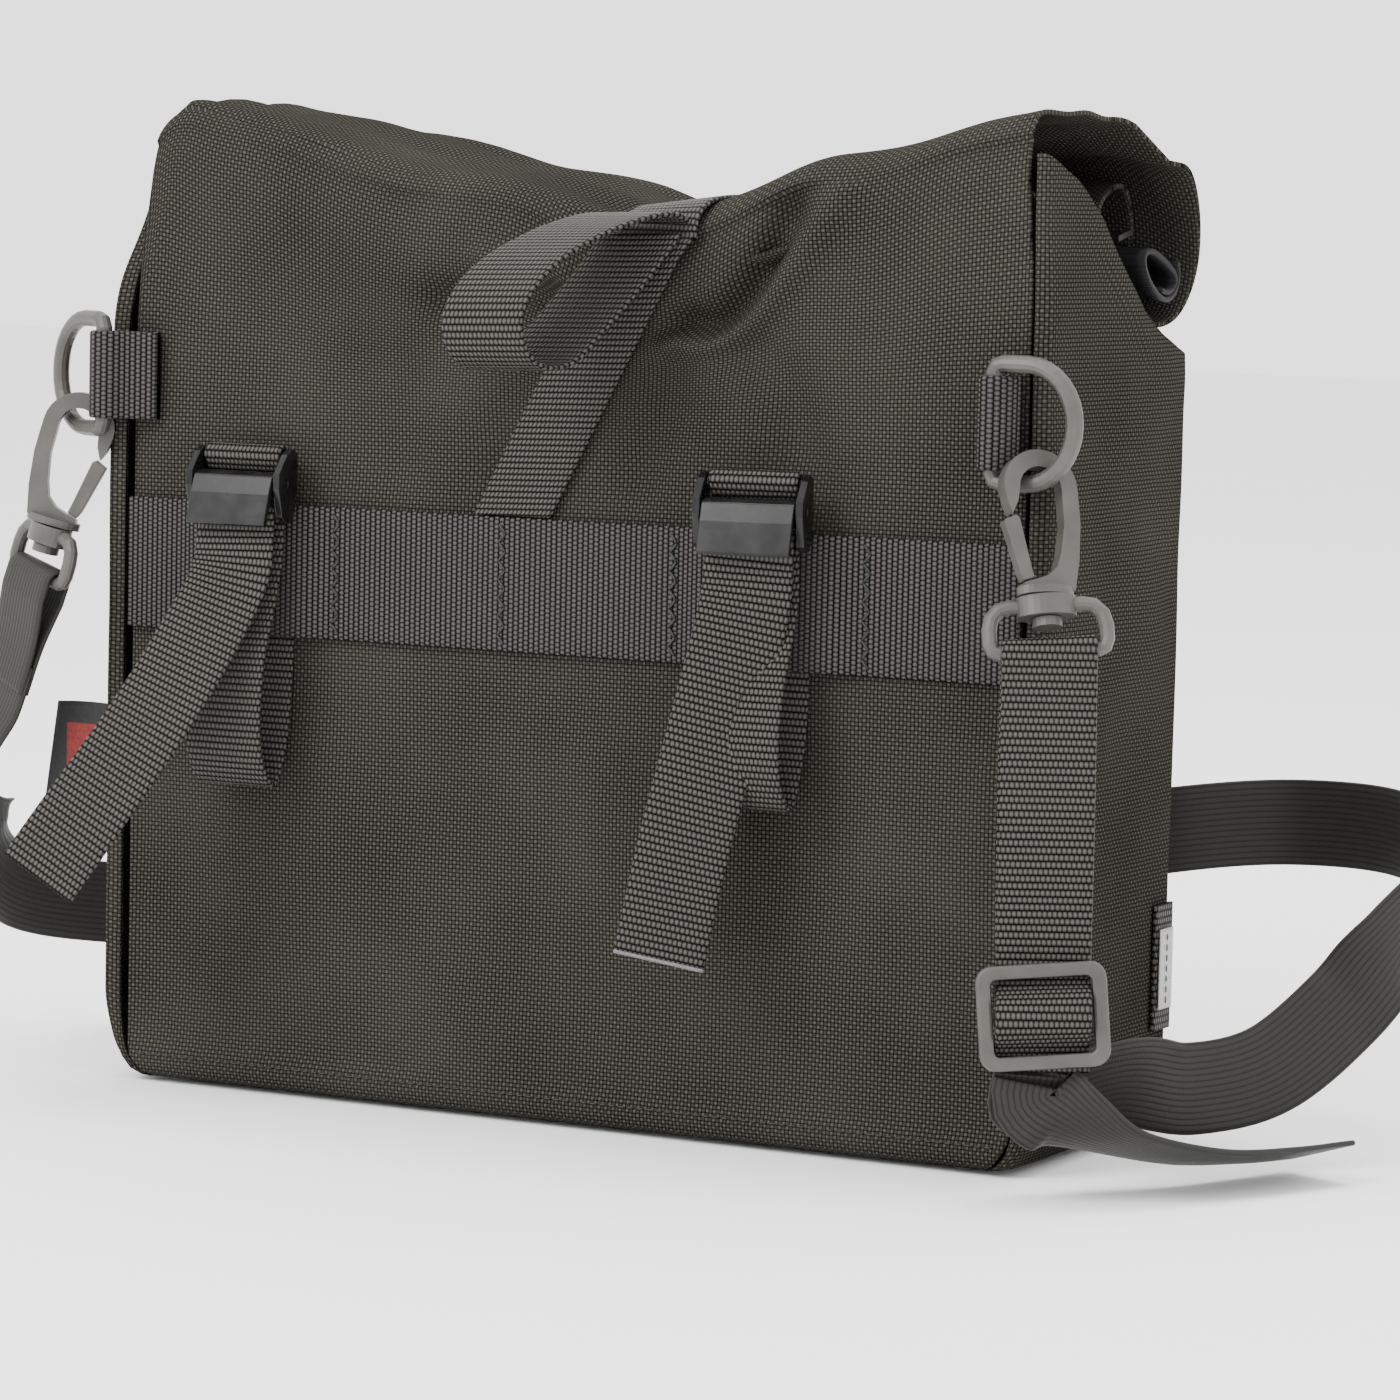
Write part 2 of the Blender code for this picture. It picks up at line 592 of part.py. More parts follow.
def finish(obj, name, origin, bevel):
    """Name a combined solid, set its origin and give it its one material."""
    shift = Vector(origin) * MM - obj.location
    obj.data.transform(Matrix.Translation(-shift))
    obj.location = Vector(origin) * MM
    obj.name = name
    obj.data.materials.clear()
    obj.data.materials.append(material(name, *PLASTIC))
    if bevel:
        soften(obj, bevel, 35)


def slider(centre, across, along):
    """Three-bar adjuster: a rounded frame and a middle bar."""
    u = Vector(across).normalized()
    w = Vector(along)
    w = (w - u * w.dot(u)).normalized()
    t = u.cross(w)
    frame = (Vector(centre), u, w, t)
    plate = prism("plate", rounded(17.4, 14.0, 4.5), frame, (-1.9, 1.9), PLASTIC)
    combine(plate, prism("window", rounded(13.4, 10.2, 1.6), frame, (-4, 4), PLASTIC), "DIFFERENCE")
    rod = (Vector(centre), w, t, u)
    combine(plate, disc("rod", rod, (2.1, 1.7), (-14.6, 14.6), PLASTIC, 16), "UNION")
    finish(plate, "strap_slider", centre, 0.8)


def shoulder_strap(left_bar, left_across, right_bar, right_across, slide):
    """Long strap from the left swivel eye, behind the bag, to the adjuster on the right."""
    ring = 2.1 + 0.4 + WEB / 2
    lb = Vector(left_bar)
    down = Vector((-0.30, -0.05, -0.95)).normalized()
    out = Vector(left_across).cross(down).normalized()
    wrap = [lb + (out * math.cos(a) - down * math.sin(a)) * ring
            for a in [math.pi * k / 8 for k in range(9)]]
    path = [wrap[0] + down * 34 - out * 2.4, wrap[0] + down * 20 - out * 2.0, wrap[0] + down * 6]
    path = spline(path, 3)[:-1] + wrap
    path += spline([wrap[-1] + down * 6, wrap[-1] + down * 20 + out * 2.0,
                    wrap[-1] + down * 34 + out * 2.4], 3)
    ribbon("strap_left_end_loop", path, Vector(left_across), STRAP_W, WEB, WEBBING)
    mid = lb + down * 39
    run = [mid, mid + Vector((-13, 3, -22)), (-206, -34, 62), (-216, -2, 46), (-210, 34, 38)]
    run += [(-188, 62, 36), (-148, 78, 40), (-80, 84, 48), (0, 85, 58), (80, 87, 70)]
    run += [(126, 95, 80), (158, 115, 83), (196, 105, 83), (219, 75, 76), (216, 45, 58)]
    run += [(208, 30, 42), (196, 8, 27), (184, -18, 24), (176, -46, 29)]
    rb = Vector(right_bar)
    fall = (slide - rb).normalized()
    face = Vector(right_across).cross(fall).normalized()
    if face.y > 0:
        face = -face

    def at_slider(up, proud):
        return slide - fall * up + face * proud

    rear_end = at_slider(-15.5, -5.0)
    run += [at_slider(-23.0, -13.0), rear_end]
    curve = spline(run, 5)[:-2]
    stand = Vector((0, 0, 1))
    turn = [(0, Vector(left_across)), (10, Vector((0.3, -0.3, 0.8))), (18, stand), (68, stand),
            (76, Vector((-0.3, 0.3, 0.9))), (84, Vector((-0.2, 0.35, 0.9))),
            (92, Vector((0.5, 0.5, 0.7))), (100, right_across)]
    ribbon("shoulder_strap_run", curve, blend(turn, len(curve)), STRAP_W, WEB, WEBBING)
    wrap = [rb + (face * math.cos(a) - fall * math.sin(a)) * ring
            for a in [math.pi * k / 8 for k in range(9)]]
    outer = [(14.8, -2.95), (10.2, -2.95), (7.2, -0.7), (4.6, 2.9), (2.4, 4.6), (0.0, 5.1)]
    inner = [(14.8, -4.8), (10.2, -4.8), (6.6, -3.2), (4.5, -0.3), (2.9, 2.0), (0.0, 2.95)]
    outer += [(-a, b) for a, b in reversed(outer[:-1])]
    inner += [(-a, b) for a, b in reversed(inner[:-1])]
    front = [at_slider(*p) for p in reversed(outer)]
    free = [front[-1], at_slider(24.0, -1.6), at_slider(52.0, 3.0), wrap[0] + fall * 6]
    front += spline(free, 5)[1:-1]
    rear = [at_slider(*p) for p in inner]
    free = [wrap[-1] + fall * 6, rb - face * 9 + fall * 34, at_slider(28.0, -9.0), rear[0]]
    path = front + wrap + spline(free, 5)[:-1] + rear
    ribbon("strap_adjuster_loop", path, Vector(right_across), STRAP_W, WEB, WEBBING)
    tail = [at_slider(-18.4, -3.6), at_slider(-22.4, -4.3), (172.6, -74.5, 22.5)]
    tail += [(181, -62, 15.5), (195, -40, 9.5)]
    tail += [(206, -16, 7.5), (214, 4, 7.0)]
    curve = spline(tail, 6)
    turn = [(0, right_across), (8, right_across), (18, Vector((0.88, -0.35, 0.25))),
            (30, Vector((0.86, -0.4, 0.3)))]
    ribbon("strap_tail", curve, blend(turn, len(curve)), STRAP_W, WEB, WEBBING)


def blend(keys, count):
    """Directions for every path point from a few keyed ones."""
    out = []
    for i in range(count):
        pos = i * keys[-1][0] / (count - 1)
        for (a, va), (b, vb) in zip(keys, keys[1:]):
            if pos <= b:
                share = (pos - a) / (b - a)
                share = share * share * (3 - 2 * share)
                out.append((Vector(va).normalized().lerp(Vector(vb).normalized(), share)).normalized())
                break
    return out


def trims():
    tag = [(-148.6, 76.0), (-148.6, 110.0), (-172.0, 109.0), (-177.0, 75.0)]
    frame = ((0, 0, 0), (1, 0, 0), (0, 0, 1), (0, 1, 0))
    prism("label_tag", tag, frame, (-45.2, -44.2), ((0.02, 0.02, 0.02), 0.8))
    side = ((0, 0, 0), (0, 1, 0), (0, 0, 1), (1, 0, 0))
    loop = [(34.0, 30.0), (46.0, 30.0), (46.0, 66.0), (34.0, 66.0)]
    edge = SIDE_X + GAP
    prism("light_loop", loop, side, (edge, edge + WEB), WEBBING)
    strip = [(35.5, 36.0), (44.5, 36.0), (44.5, 59.0), (35.5, 59.0)]
    edge += WEB + GAP
    prism("reflective_strip", strip, side, (edge, edge + 0.5), PAPER)


def build():
    for obj in list(bpy.data.objects):
        bpy.data.objects.remove(obj, do_unlink=True)
    panels()
    rolled_top()
    band()
    left = Place(LEFT_BUCKLE_X)
    right = Place(RIGHT_BUCKLE_X, RIGHT_BUCKLE_TURN, out=RIGHT_BUCKLE_OUT)
    cam_buckle("left", left)
    cam_buckle("right", right)
    tail = [(-99, -66, 152), (-103, -74, 136), (-111, -88, 112), (-122, -101, 88), (-134, -110, 66)]
    cam_strap("left_cam_strap", LEFT_BUCKLE_X, left, 0.0, rail_loop(92.0), tail, 14.0)
    tail = [(67.5, -66, 150), (62, -70, 120), (55, -74, 86), (49, -76, 54)]
    cam_strap("right_cam_strap", RIGHT_BUCKLE_X, right, RIGHT_BUCKLE_TURN, rail_loop(97.0), tail, 24.0)
    strap_on_front()
    cam_buckle("rear", strap_on_back())
    d_ring("right_d_ring", RIGHT_RING, 0.0)
    d_ring("left_d_ring", LEFT_RING, LEFT_RING_TURN)
    ring_tabs()
    rx, ry, rz = RIGHT_RING
    wire = (rx + 13.4, ry, rz - 15.1)
    right_bar, right_across = snap_hook("right", wire, heading(50.0), (0.22, -0.25, -0.943), -22.0)
    out = heading(LEFT_RING_TURN)
    lx, ly, lz = LEFT_RING
    wire = (lx + out.x * 12.0, ly + out.y * 12.0, lz - 14.2)
    flat = heading(205.5)
    lean = flat * 0.26 + Vector((0, 0, -0.966))
    left_bar, left_across = snap_hook("left", wire, flat, lean, 128.0, 0.84)
    slide = Vector((167.0, -80.0, 50.0))
    slider(slide, right_across, right_bar - slide)
    shoulder_strap(left_bar, left_across, right_bar, right_across, slide)
    trims()


build()
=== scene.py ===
"""Roll-top pannier bag: cloth, webbing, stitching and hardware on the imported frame."""
import math

import bmesh
import bpy
import numpy as np
from mathutils import Matrix, Vector


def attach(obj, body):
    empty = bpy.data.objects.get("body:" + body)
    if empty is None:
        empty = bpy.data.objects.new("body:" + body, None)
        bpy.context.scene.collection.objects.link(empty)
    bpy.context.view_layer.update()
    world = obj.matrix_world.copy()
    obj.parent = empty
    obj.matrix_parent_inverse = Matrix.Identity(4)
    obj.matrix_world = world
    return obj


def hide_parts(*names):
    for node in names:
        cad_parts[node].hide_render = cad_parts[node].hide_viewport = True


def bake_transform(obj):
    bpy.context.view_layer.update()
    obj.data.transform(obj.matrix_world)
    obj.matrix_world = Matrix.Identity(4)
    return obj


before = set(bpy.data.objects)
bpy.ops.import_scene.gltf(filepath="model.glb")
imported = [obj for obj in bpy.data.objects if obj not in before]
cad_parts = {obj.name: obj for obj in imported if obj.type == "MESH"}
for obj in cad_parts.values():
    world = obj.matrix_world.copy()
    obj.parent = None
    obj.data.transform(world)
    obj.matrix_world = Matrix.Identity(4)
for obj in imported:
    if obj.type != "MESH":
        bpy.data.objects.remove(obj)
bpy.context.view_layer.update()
MM = 0.001

# Sizes and places in millimetres, as the frame has them
FRONT_Y, BACK_Y, SEAM_X, SIDE_X, BACK_TOP_Z = -50.0, 50.0, 143.5, 148.0, 224.0
DIP_X, LEFT_DRAW = 32.0, 20.0
GAP, WEB, STRAP_W, BAND_W, BAND_FOOT_Z = 0.3, 1.5, 25.4, 38.1, 134.0
BAND_SLOTS = ((-127.0, -72.0), (38.0, 98.0))
BAND_TACKS = (-72.0, -17.0, 38.0, 98.0)
ROLL_Y, ROLL_Z, ROLL_R, ROLL_HALF = 32.0, 260.0, 24.0, 141.0
RIGHT_RING, LEFT_RING, RING_R = (137.0, -57.0, 205.0), (-150.0, -56.0, 207.5), 2.4
RIGHT_BAR, RIGHT_ACROSS = Vector((160.74, -68.75, 145.58)), Vector((0.8779, 0.4722, 0.0796))
LEFT_BAR, LEFT_ACROSS = Vector((-171.94, -56.28, 147.92)), Vector((0.8758, -0.4553, -0.1600))
BAIL_R, BAIL_GAP = 2.1, 0.4
SLIDER = Vector((167.0, -80.0, 50.0))
FALL = (SLIDER - RIGHT_BAR).normalized()
FACE = FALL.cross(RIGHT_ACROSS).normalized()
BUCKLE_Y, TOP_BAR, LOW_BAR, WRAP_R = -57.0, (-57.5, 186.0), (-60.0, 170.0), 2.75


# ---------------------------------------------------------------- shape helpers

def spline(points, per=10):
    """Smooth curve through points, in `per` steps between each pair."""
    pts = [Vector(p) for p in points]
    pts = [2 * pts[0] - pts[1]] + pts + [2 * pts[-1] - pts[-2]]
    out = []
    for a, b, c, d in zip(pts, pts[1:], pts[2:], pts[3:]):
        for k in range(per):
            t = k / per
            out.append(0.5 * (2 * b + (c - a) * t + (2 * a - 5 * b + 4 * c - d) * t * t
                              + (3 * b - a - 3 * c + d) * t ** 3))
    out.append(pts[-2])
    return out


def arc(cy, cz, r, start, end, steps):
    """Points of a circle's arc, between angles in degrees."""
    angles = [math.radians(start + (end - start) * k / steps) for k in range(steps + 1)]
    return [(cy + r * math.cos(a), cz + r * math.sin(a)) for a in angles]


def heading(angle):
    """Level direction, turned from the x axis by an angle in degrees."""
    return Vector((math.cos(math.radians(angle)), math.sin(math.radians(angle)), 0.0))


def ease(t):
    t = np.clip(t, 0.0, 1.0)
    return t * t * (3 - 2 * t)


def clamp(t):
    return min(1.0, max(0.0, t))


def ripple(u, v, size, seed, count=7):
    """Smooth irregular waves, about -1 to 1, with bumps about `size` across."""
    rng = np.random.RandomState(seed)
    total = 0.0
    for _ in range(count):
        a, phase, f = rng.uniform(0, math.tau), rng.uniform(0, math.tau), rng.uniform(0.6, 1.5)
        total = total + np.sin((u * math.cos(a) + v * math.sin(a)) * math.tau * f / size + phase)
    return total / math.sqrt(count)


def make(name, verts, faces, mat, uvs=None, smooth=True):
    mesh = bpy.data.meshes.new(name)
    mesh.from_pydata([tuple(v) for v in np.asarray(verts, float) * MM], [], faces)
    if uvs is not None:
        layer = mesh.uv_layers.new(name="weave")
        index = np.empty(len(mesh.loops), np.int32)
        mesh.loops.foreach_get("vertex_index", index)
        layer.data.foreach_set("uv", np.asarray(uvs, float)[index].ravel())
    mesh.polygons.foreach_set("use_smooth", [smooth] * len(mesh.polygons))
    mesh.materials.append(mat)
    obj = bpy.data.objects.new(name, mesh)
    bpy.context.collection.objects.link(obj)
    return obj


def resample(path, across, step):
    """Even spacing along a path, with its width directions."""
    pts = np.array([tuple(p) for p in path])
    dirs = np.array([tuple(a) for a in across])
    seg = np.linalg.norm(np.diff(pts, axis=0), axis=1)
    keep = np.concatenate([[True], seg > 1e-6])
    pts, dirs = pts[keep], dirs[keep]
    run = np.concatenate([[0], np.cumsum(np.linalg.norm(np.diff(pts, axis=0), axis=1))])
    count = max(2, int(run[-1] / step) + 1)
    at = np.linspace(0, run[-1], count)
    pts = np.stack([np.interp(at, run, pts[:, k]) for k in range(3)], 1)
    dirs = np.stack([np.interp(at, run, dirs[:, k]) for k in range(3)], 1)
    return pts, dirs, at


def tape_rows(path, across, width, thick=WEB, step=1.2, skew=False):
    """Cross-sections of woven tape, with UVs in millimetres across and along it. With skew
    its picks keep the given direction instead of turning square to the path."""
    if isinstance(across, Vector):
        across = [across] * len(path)
    pts, dirs, at = resample(path, across, step)
    t = np.gradient(pts, axis=0)
    t /= np.linalg.norm(t, axis=1)[:, None]
    w = dirs - t * (dirs * t).sum(1)[:, None]
    w /= np.linalg.norm(w, axis=1)[:, None]
    n = np.cross(t, w)
    if skew:
        w = dirs / np.linalg.norm(dirs, axis=1)[:, None]
    half, h = width / 2, thick / 2
    flat = [-half + h + (width - thick) * k / 8 for k in range(9)]
    bulge = (0.8, math.pi / 2, 2.3)
    ring = [(u, -h) for u in flat]
    ring += [(half - h + h * math.sin(a), -h * math.cos(a)) for a in bulge]
    ring += [(u, h) for u in reversed(flat)]
    ring += [(-half + h - h * math.sin(a), h * math.cos(a)) for a in bulge]
    ring = np.array(ring)
    rows = pts[:, None] + w[:, None] * ring[None, :, :1] + n[:, None] * ring[None, :, 1:]
    uvs = np.stack([np.repeat(ring[None, :, 0], len(at), 0),
                    np.repeat(at[:, None], len(ring), 1)], 2)
    return rows, uvs, pts, at


def tape_piece(name, rows, uvs, mat, caps=(True, True)):
    count, m = rows.shape[:2]
    faces = [(i * m + k, i * m + (k + 1) % m, (i + 1) * m + (k + 1) % m, (i + 1) * m + k)
             for i in range(count - 1) for k in range(m)]
    last = (count - 1) * m
    ends = [tuple(range(m))[::-1], tuple(range(last, last + m))]
    faces += [end for end, closed in zip(ends, caps) if closed]
    obj = make(name, rows.reshape(-1, 3), faces, mat, uvs.reshape(-1, 2))
    for face in obj.data.polygons[(count - 1) * m:]:
        face.use_smooth = False
    return obj


def webbing(name, path, across, width, mat, **how):
    rows, uvs, _, _ = tape_rows(path, across, width, **how)
    return tape_piece(name, rows, uvs, mat)


def trim(obj, point, normal):
    """Cut off what lies behind a plane and close the end."""
    bm = bmesh.new()
    bm.from_mesh(obj.data)
    bmesh.ops.bisect_plane(bm, geom=bm.verts[:] + bm.edges[:] + bm.faces[:],
                           plane_co=Vector(point) * MM, plane_no=normal, clear_inner=True)
    bmesh.ops.holes_fill(bm, edges=bm.edges[:])
    bm.to_mesh(obj.data)
    bm.free()


def shell(name, grid, uv, thick, mat, flip=False):
    """Cloth with real thickness over a grid of outer points (rows, columns, 3)."""
    du = np.gradient(grid, axis=1)
    dv = np.gradient(grid, axis=0)
    n = np.cross(du, dv)
    n /= np.linalg.norm(n, axis=2)[:, :, None] + 1e-9
    inner = grid - n * (thick * (-1 if flip else 1))
    rows, cols = grid.shape[:2]
    verts = np.concatenate([grid.reshape(-1, 3), inner.reshape(-1, 3)])
    uvs = np.concatenate([uv.reshape(-1, 2)] * 2)
    size = rows * cols
    faces = []
    for i in range(rows - 1):
        for k in range(cols - 1):
            a, b = i * cols + k, (i + 1) * cols + k
            quad = (a, a + 1, b + 1, b)
            back = (a + size, b + size, b + 1 + size, a + 1 + size)
            faces += [quad[::-1], back[::-1]] if flip else [quad, back]
    edge = list(range(cols)) + [i * cols + cols - 1 for i in range(1, rows)]
    edge += [(rows - 1) * cols + k for k in range(cols - 2, -1, -1)]
    edge += [i * cols for i in range(rows - 2, 0, -1)]
    for a, b in zip(edge, edge[1:] + edge[:1]):
        side = (a, a + size, b + size, b)
        faces.append(side[::-1] if flip else side)
    return make(name, verts, faces, mat, uvs)


# ---------------------------------------------------------------- materials

class Nodes:
    """Short way to wire a procedural material."""

    def __init__(self, name):
        self.mat = bpy.data.materials.new(name)
        self.mat.use_nodes = True
        self.tree = self.mat.node_tree
        self.out = self.tree.nodes["Principled BSDF"]

    def add(self, kind, **values):
        node = self.tree.nodes.new(kind)
        for key, value in values.items():
            setattr(node, key, value)
        return node

    def feed(self, socket, value):
        if isinstance(value, bpy.types.NodeSocket):
            self.tree.links.new(value, socket)
        else:
            socket.default_value = value

    def math(self, op, a, b=0.0, c=None):
        node = self.add("ShaderNodeMath", operation=op)
        self.feed(node.inputs[0], a)
        self.feed(node.inputs[1], b)
        if c is not None:
            self.feed(node.inputs[2], c)
        return node.outputs[0]

    def noise(self, vector, scale, detail=3.0):
        node = self.add("ShaderNodeTexNoise")
        self.feed(node.inputs["Vector"], vector)
        node.inputs["Scale"].default_value = scale
        node.inputs["Detail"].default_value = detail
        return node.outputs["Fac"]

    def ramp(self, fac, low, high, a=0.0, b=1.0):
        node = self.add("ShaderNodeValToRGB")
        self.feed(node.inputs[0], fac)
        node.color_ramp.elements[0].position = a
        node.color_ramp.elements[1].position = b
        node.color_ramp.elements[0].color = (*low, 1)
        node.color_ramp.elements[1].color = (*high, 1)
        return node.outputs[0]

    def bump(self, height, distance, strength=1.0):
        node = self.add("ShaderNodeBump")
        node.inputs["Distance"].default_value = distance
        node.inputs["Strength"].default_value = strength
        self.feed(node.inputs["Height"], height)
        return node.outputs[0]

    def object_point(self):
        return self.add("ShaderNodeTexCoord").outputs["Object"]

    def weave_uv(self):
        uv = self.add("ShaderNodeUVMap", uv_map="weave")
        part = self.add("ShaderNodeSeparateXYZ")
        self.feed(part.inputs[0], uv.outputs[0])
        return uv.outputs[0], part.outputs[0], part.outputs[1]

    def wave(self, value, pitch):
        return self.math("SINE", self.math("MULTIPLY", value, math.pi / pitch))

    def finish(self, colour, rough, normal=None, coat=0.0, specular=0.5):
        self.feed(self.out.inputs["Base Color"], colour)
        self.feed(self.out.inputs["Roughness"], rough)
        if normal is not None:
            self.feed(self.out.inputs["Normal"], normal)
        self.out.inputs["Coat Weight"].default_value = coat
        self.out.inputs["Coat Roughness"].default_value = 0.12
        self.out.inputs["Specular IOR Level"].default_value = specular
        return self.mat


def cloth(name, dark, light, pitch=1.15, depth=0.00028):
    """Coarse plain weave: each yarn passes over and under the next. Its colour is painted shade
    in the gaps between yarns and painted highlight on the yarn tops.
    """
    m = Nodes(name)
    uv, u, v = m.weave_uv()
    wobble = m.math("MULTIPLY", m.math("SUBTRACT", m.noise(uv, 0.25), 0.5), 0.5)
    u = m.math("ADD", u, wobble)
    v = m.math("ADD", v, wobble)
    cross = m.math("MULTIPLY", m.wave(u, pitch), m.wave(v, pitch))
    over = m.math("MULTIPLY_ADD", cross, 0.5, 0.5)
    yarn = m.math("ABSOLUTE", m.wave(u, pitch))
    pick = m.math("ABSOLUTE", m.wave(v, pitch))
    gap = m.math("MULTIPLY", m.math("POWER", yarn, 0.5), m.math("POWER", pick, 0.5))
    height = m.math("MULTIPLY", gap, m.math("MULTIPLY_ADD", over, 0.55, 0.45))
    fibre = m.noise(uv, 3.0, 4.0)
    # painted shade and highlight: tone follows the weave height, dark in the gaps and light on
    # the yarn tops, varied at random by the fibre noise
    tone = m.math("MULTIPLY", height, m.math("MULTIPLY_ADD", fibre, 0.8, 0.6))
    cloudy = m.math("MULTIPLY_ADD", m.noise(uv, 0.018, 2.0), 0.3, -0.15)
    colour = m.ramp(m.math("ADD", tone, cloudy), dark, light, 0.12, 0.9)
    normal = m.bump(m.math("MULTIPLY_ADD", fibre, 0.12, height), depth)
    return m.finish(colour, m.math("MULTIPLY_ADD", fibre, -0.15, 0.8), normal, specular=0.0)


def tape(name, dark, light, pick=1.9, end=1.35, depth=0.0004, rough=0.5):
    """Webbing: heavy picks across the tape, beaded by the yarns that run along it. Its colour is
    painted shade between the picks and beads and painted highlight on their tops.
    """
    m = Nodes(name)
    uv, u, v = m.weave_uv()
    row = m.math("FLOOR", m.math("DIVIDE", v, pick))
    shifted = m.math("MULTIPLY_ADD", row, end / 2, u)
    ribs = m.math("POWER", m.math("ABSOLUTE", m.wave(v, pick)), 0.55)
    beads = m.math("ABSOLUTE", m.wave(shifted, end))
    height = m.math("MULTIPLY", ribs, m.math("MULTIPLY_ADD", beads, 0.6, 0.4))
    fibre = m.noise(uv, 2.5, 4.0)
    # painted shade and highlight: tone follows the rib and bead height, dark in the hollows and
    # light on the bead tops, varied at random by the fibre noise
    tone = m.math("MULTIPLY", height, m.math("MULTIPLY_ADD", fibre, 0.7, 0.65))
    colour = m.ramp(m.math("POWER", tone, 1.7), dark, light, 0.1, 0.8)
    normal = m.bump(m.math("MULTIPLY_ADD", fibre, 0.1, height), depth)
    return m.finish(colour, m.math("MULTIPLY_ADD", fibre, -0.18, rough), normal, specular=0.05)


def smooth_tape(name, dark, light):
    """Flat strap face with fine lines that run along it. Its colour is painted shade in the
    grooves between the lines and painted highlight on their ridges.
    """
    m = Nodes(name)
    uv, u, v = m.weave_uv()
    lines = m.math("POWER", m.math("ABSOLUTE", m.wave(u, 1.7)), 0.4)
    fine = m.math("ABSOLUTE", m.wave(v, 0.9))
    height = m.math("MULTIPLY_ADD", fine, 0.25, lines)
    fibre = m.noise(uv, 2.0, 4.0)
    # painted shade and highlight: tone follows the groove profile, dark in the grooves and light
    # on the ridges, varied at random by the fibre noise
    tone = m.math("MULTIPLY", lines, m.math("MULTIPLY_ADD", fibre, 0.6, 0.7))
    colour = m.ramp(tone, dark, light)
    return m.finish(colour, m.math("MULTIPLY_ADD", fibre, -0.15, 0.55), m.bump(height, 0.00012),
                    specular=0.08)


def moulded(name, dark, light):
    """Injection-moulded plastic with a fine spark-eroded skin."""
    m = Nodes(name)
    at = m.object_point()
    soft = m.noise(at, 90.0, 3.0)
    grain = m.noise(at, 2600.0, 3.0)
    colour = m.ramp(soft, dark, light, 0.3, 0.7)
    return m.finish(colour, m.math("MULTIPLY_ADD", soft, 0.16, 0.34), m.bump(grain, 0.00006, 0.7))


def plated(name):
    """Glossy black plated steel with faint polishing marks."""
    m = Nodes(name)
    at = m.object_point()
    scale = m.add("ShaderNodeMapping")
    scale.inputs["Scale"].default_value = (60.0, 900.0, 900.0)
    m.feed(scale.inputs[0], at)
    brush = m.noise(scale.outputs[0], 1.0, 4.0)
    worn = m.noise(at, 160.0, 4.0)
    colour = m.ramp(worn, (0.003, 0.003, 0.003), (0.010, 0.010, 0.010), 0.35, 0.7)
    rough = m.math("MULTIPLY_ADD", worn, 0.14, 0.16)
    return m.finish(colour, rough, m.bump(brush, 0.00002, 0.6), coat=0.02, specular=0.24)


def thread(name, colour):
    m = Nodes(name)
    at = m.object_point()
    twist = m.noise(at, 1800.0, 2.0)
    low = tuple(c * 0.5 for c in colour)
    return m.finish(m.ramp(twist, low, colour, 0.3, 0.7), 0.6, m.bump(twist, 0.0001))


# For the woven materials the dark colour is painted shade in the weave's hollows and the light
# colour is painted highlight on its tops
CLOTH = cloth("bag_cloth", (0.0034, 0.0033, 0.0028), (0.066, 0.063, 0.053))
TAPE = tape("strap_webbing", (0.0005, 0.0005, 0.0005), (0.074, 0.069, 0.062), depth=0.0006)
BAND = tape("band_webbing", (0.0007, 0.0006, 0.0007), (0.066, 0.058, 0.058), pick=1.7,
            depth=0.0005)
HEM = smooth_tape("hem_webbing", (0.002, 0.002, 0.002), (0.010, 0.010, 0.011))
LONG = smooth_tape("shoulder_webbing", (0.005, 0.005, 0.0045), (0.027, 0.026, 0.024))
PLASTIC = moulded("grey_plastic", (0.036, 0.033, 0.030), (0.060, 0.056, 0.050))
BOARD = moulded("stiff_board", (0.003, 0.003, 0.003), (0.007, 0.007, 0.007))
STEEL = plated("black_metal")
THREAD = thread("dark_thread", (0.006, 0.005, 0.007))
PALE = thread("tape_thread", (0.14, 0.14, 0.14))


# ---------------------------------------------------------------- camera and light

def camera():
    yaw, pitch, roll = math.radians(28.0), math.radians(5.4), math.radians(1.28)
    look = Vector((46.3, -50.0, 124.1))
    distance, sensor = 1556.0, 36.0
    back = Vector((math.sin(yaw) * math.cos(pitch), -math.cos(yaw) * math.cos(pitch),
                   math.sin(pitch)))
    right = Vector((math.cos(yaw), math.sin(yaw), 0.0))
    up = back.cross(right)
    rolled_right = right * math.cos(roll) + up * math.sin(roll)
    rolled_up = -right * math.sin(roll) + up * math.cos(roll)
    data = bpy.data.cameras.new("camera")
    data.sensor_width = sensor
    data.lens = sensor * 4.0
    data.clip_start = 0.05
    obj = bpy.data.objects.new("camera", data)
    spin = Matrix((rolled_right, rolled_up, back)).transposed().to_4x4()
    obj.matrix_world = Matrix.Translation((look + back * distance) * MM) @ spin
    bpy.context.collection.objects.link(obj)
    bpy.context.scene.camera = obj


def lamp(name, at, target, size, power):
    data = bpy.data.lights.new(name, "AREA")
    data.shape = "RECTANGLE"
    data.size, data.size_y = size
    data.energy = power
    obj = bpy.data.objects.new(name, data)
    obj.location = at
    obj.rotation_euler = (Vector(target) - Vector(at)).to_track_quat("-Z", "Y").to_euler()
    bpy.context.collection.objects.link(obj)


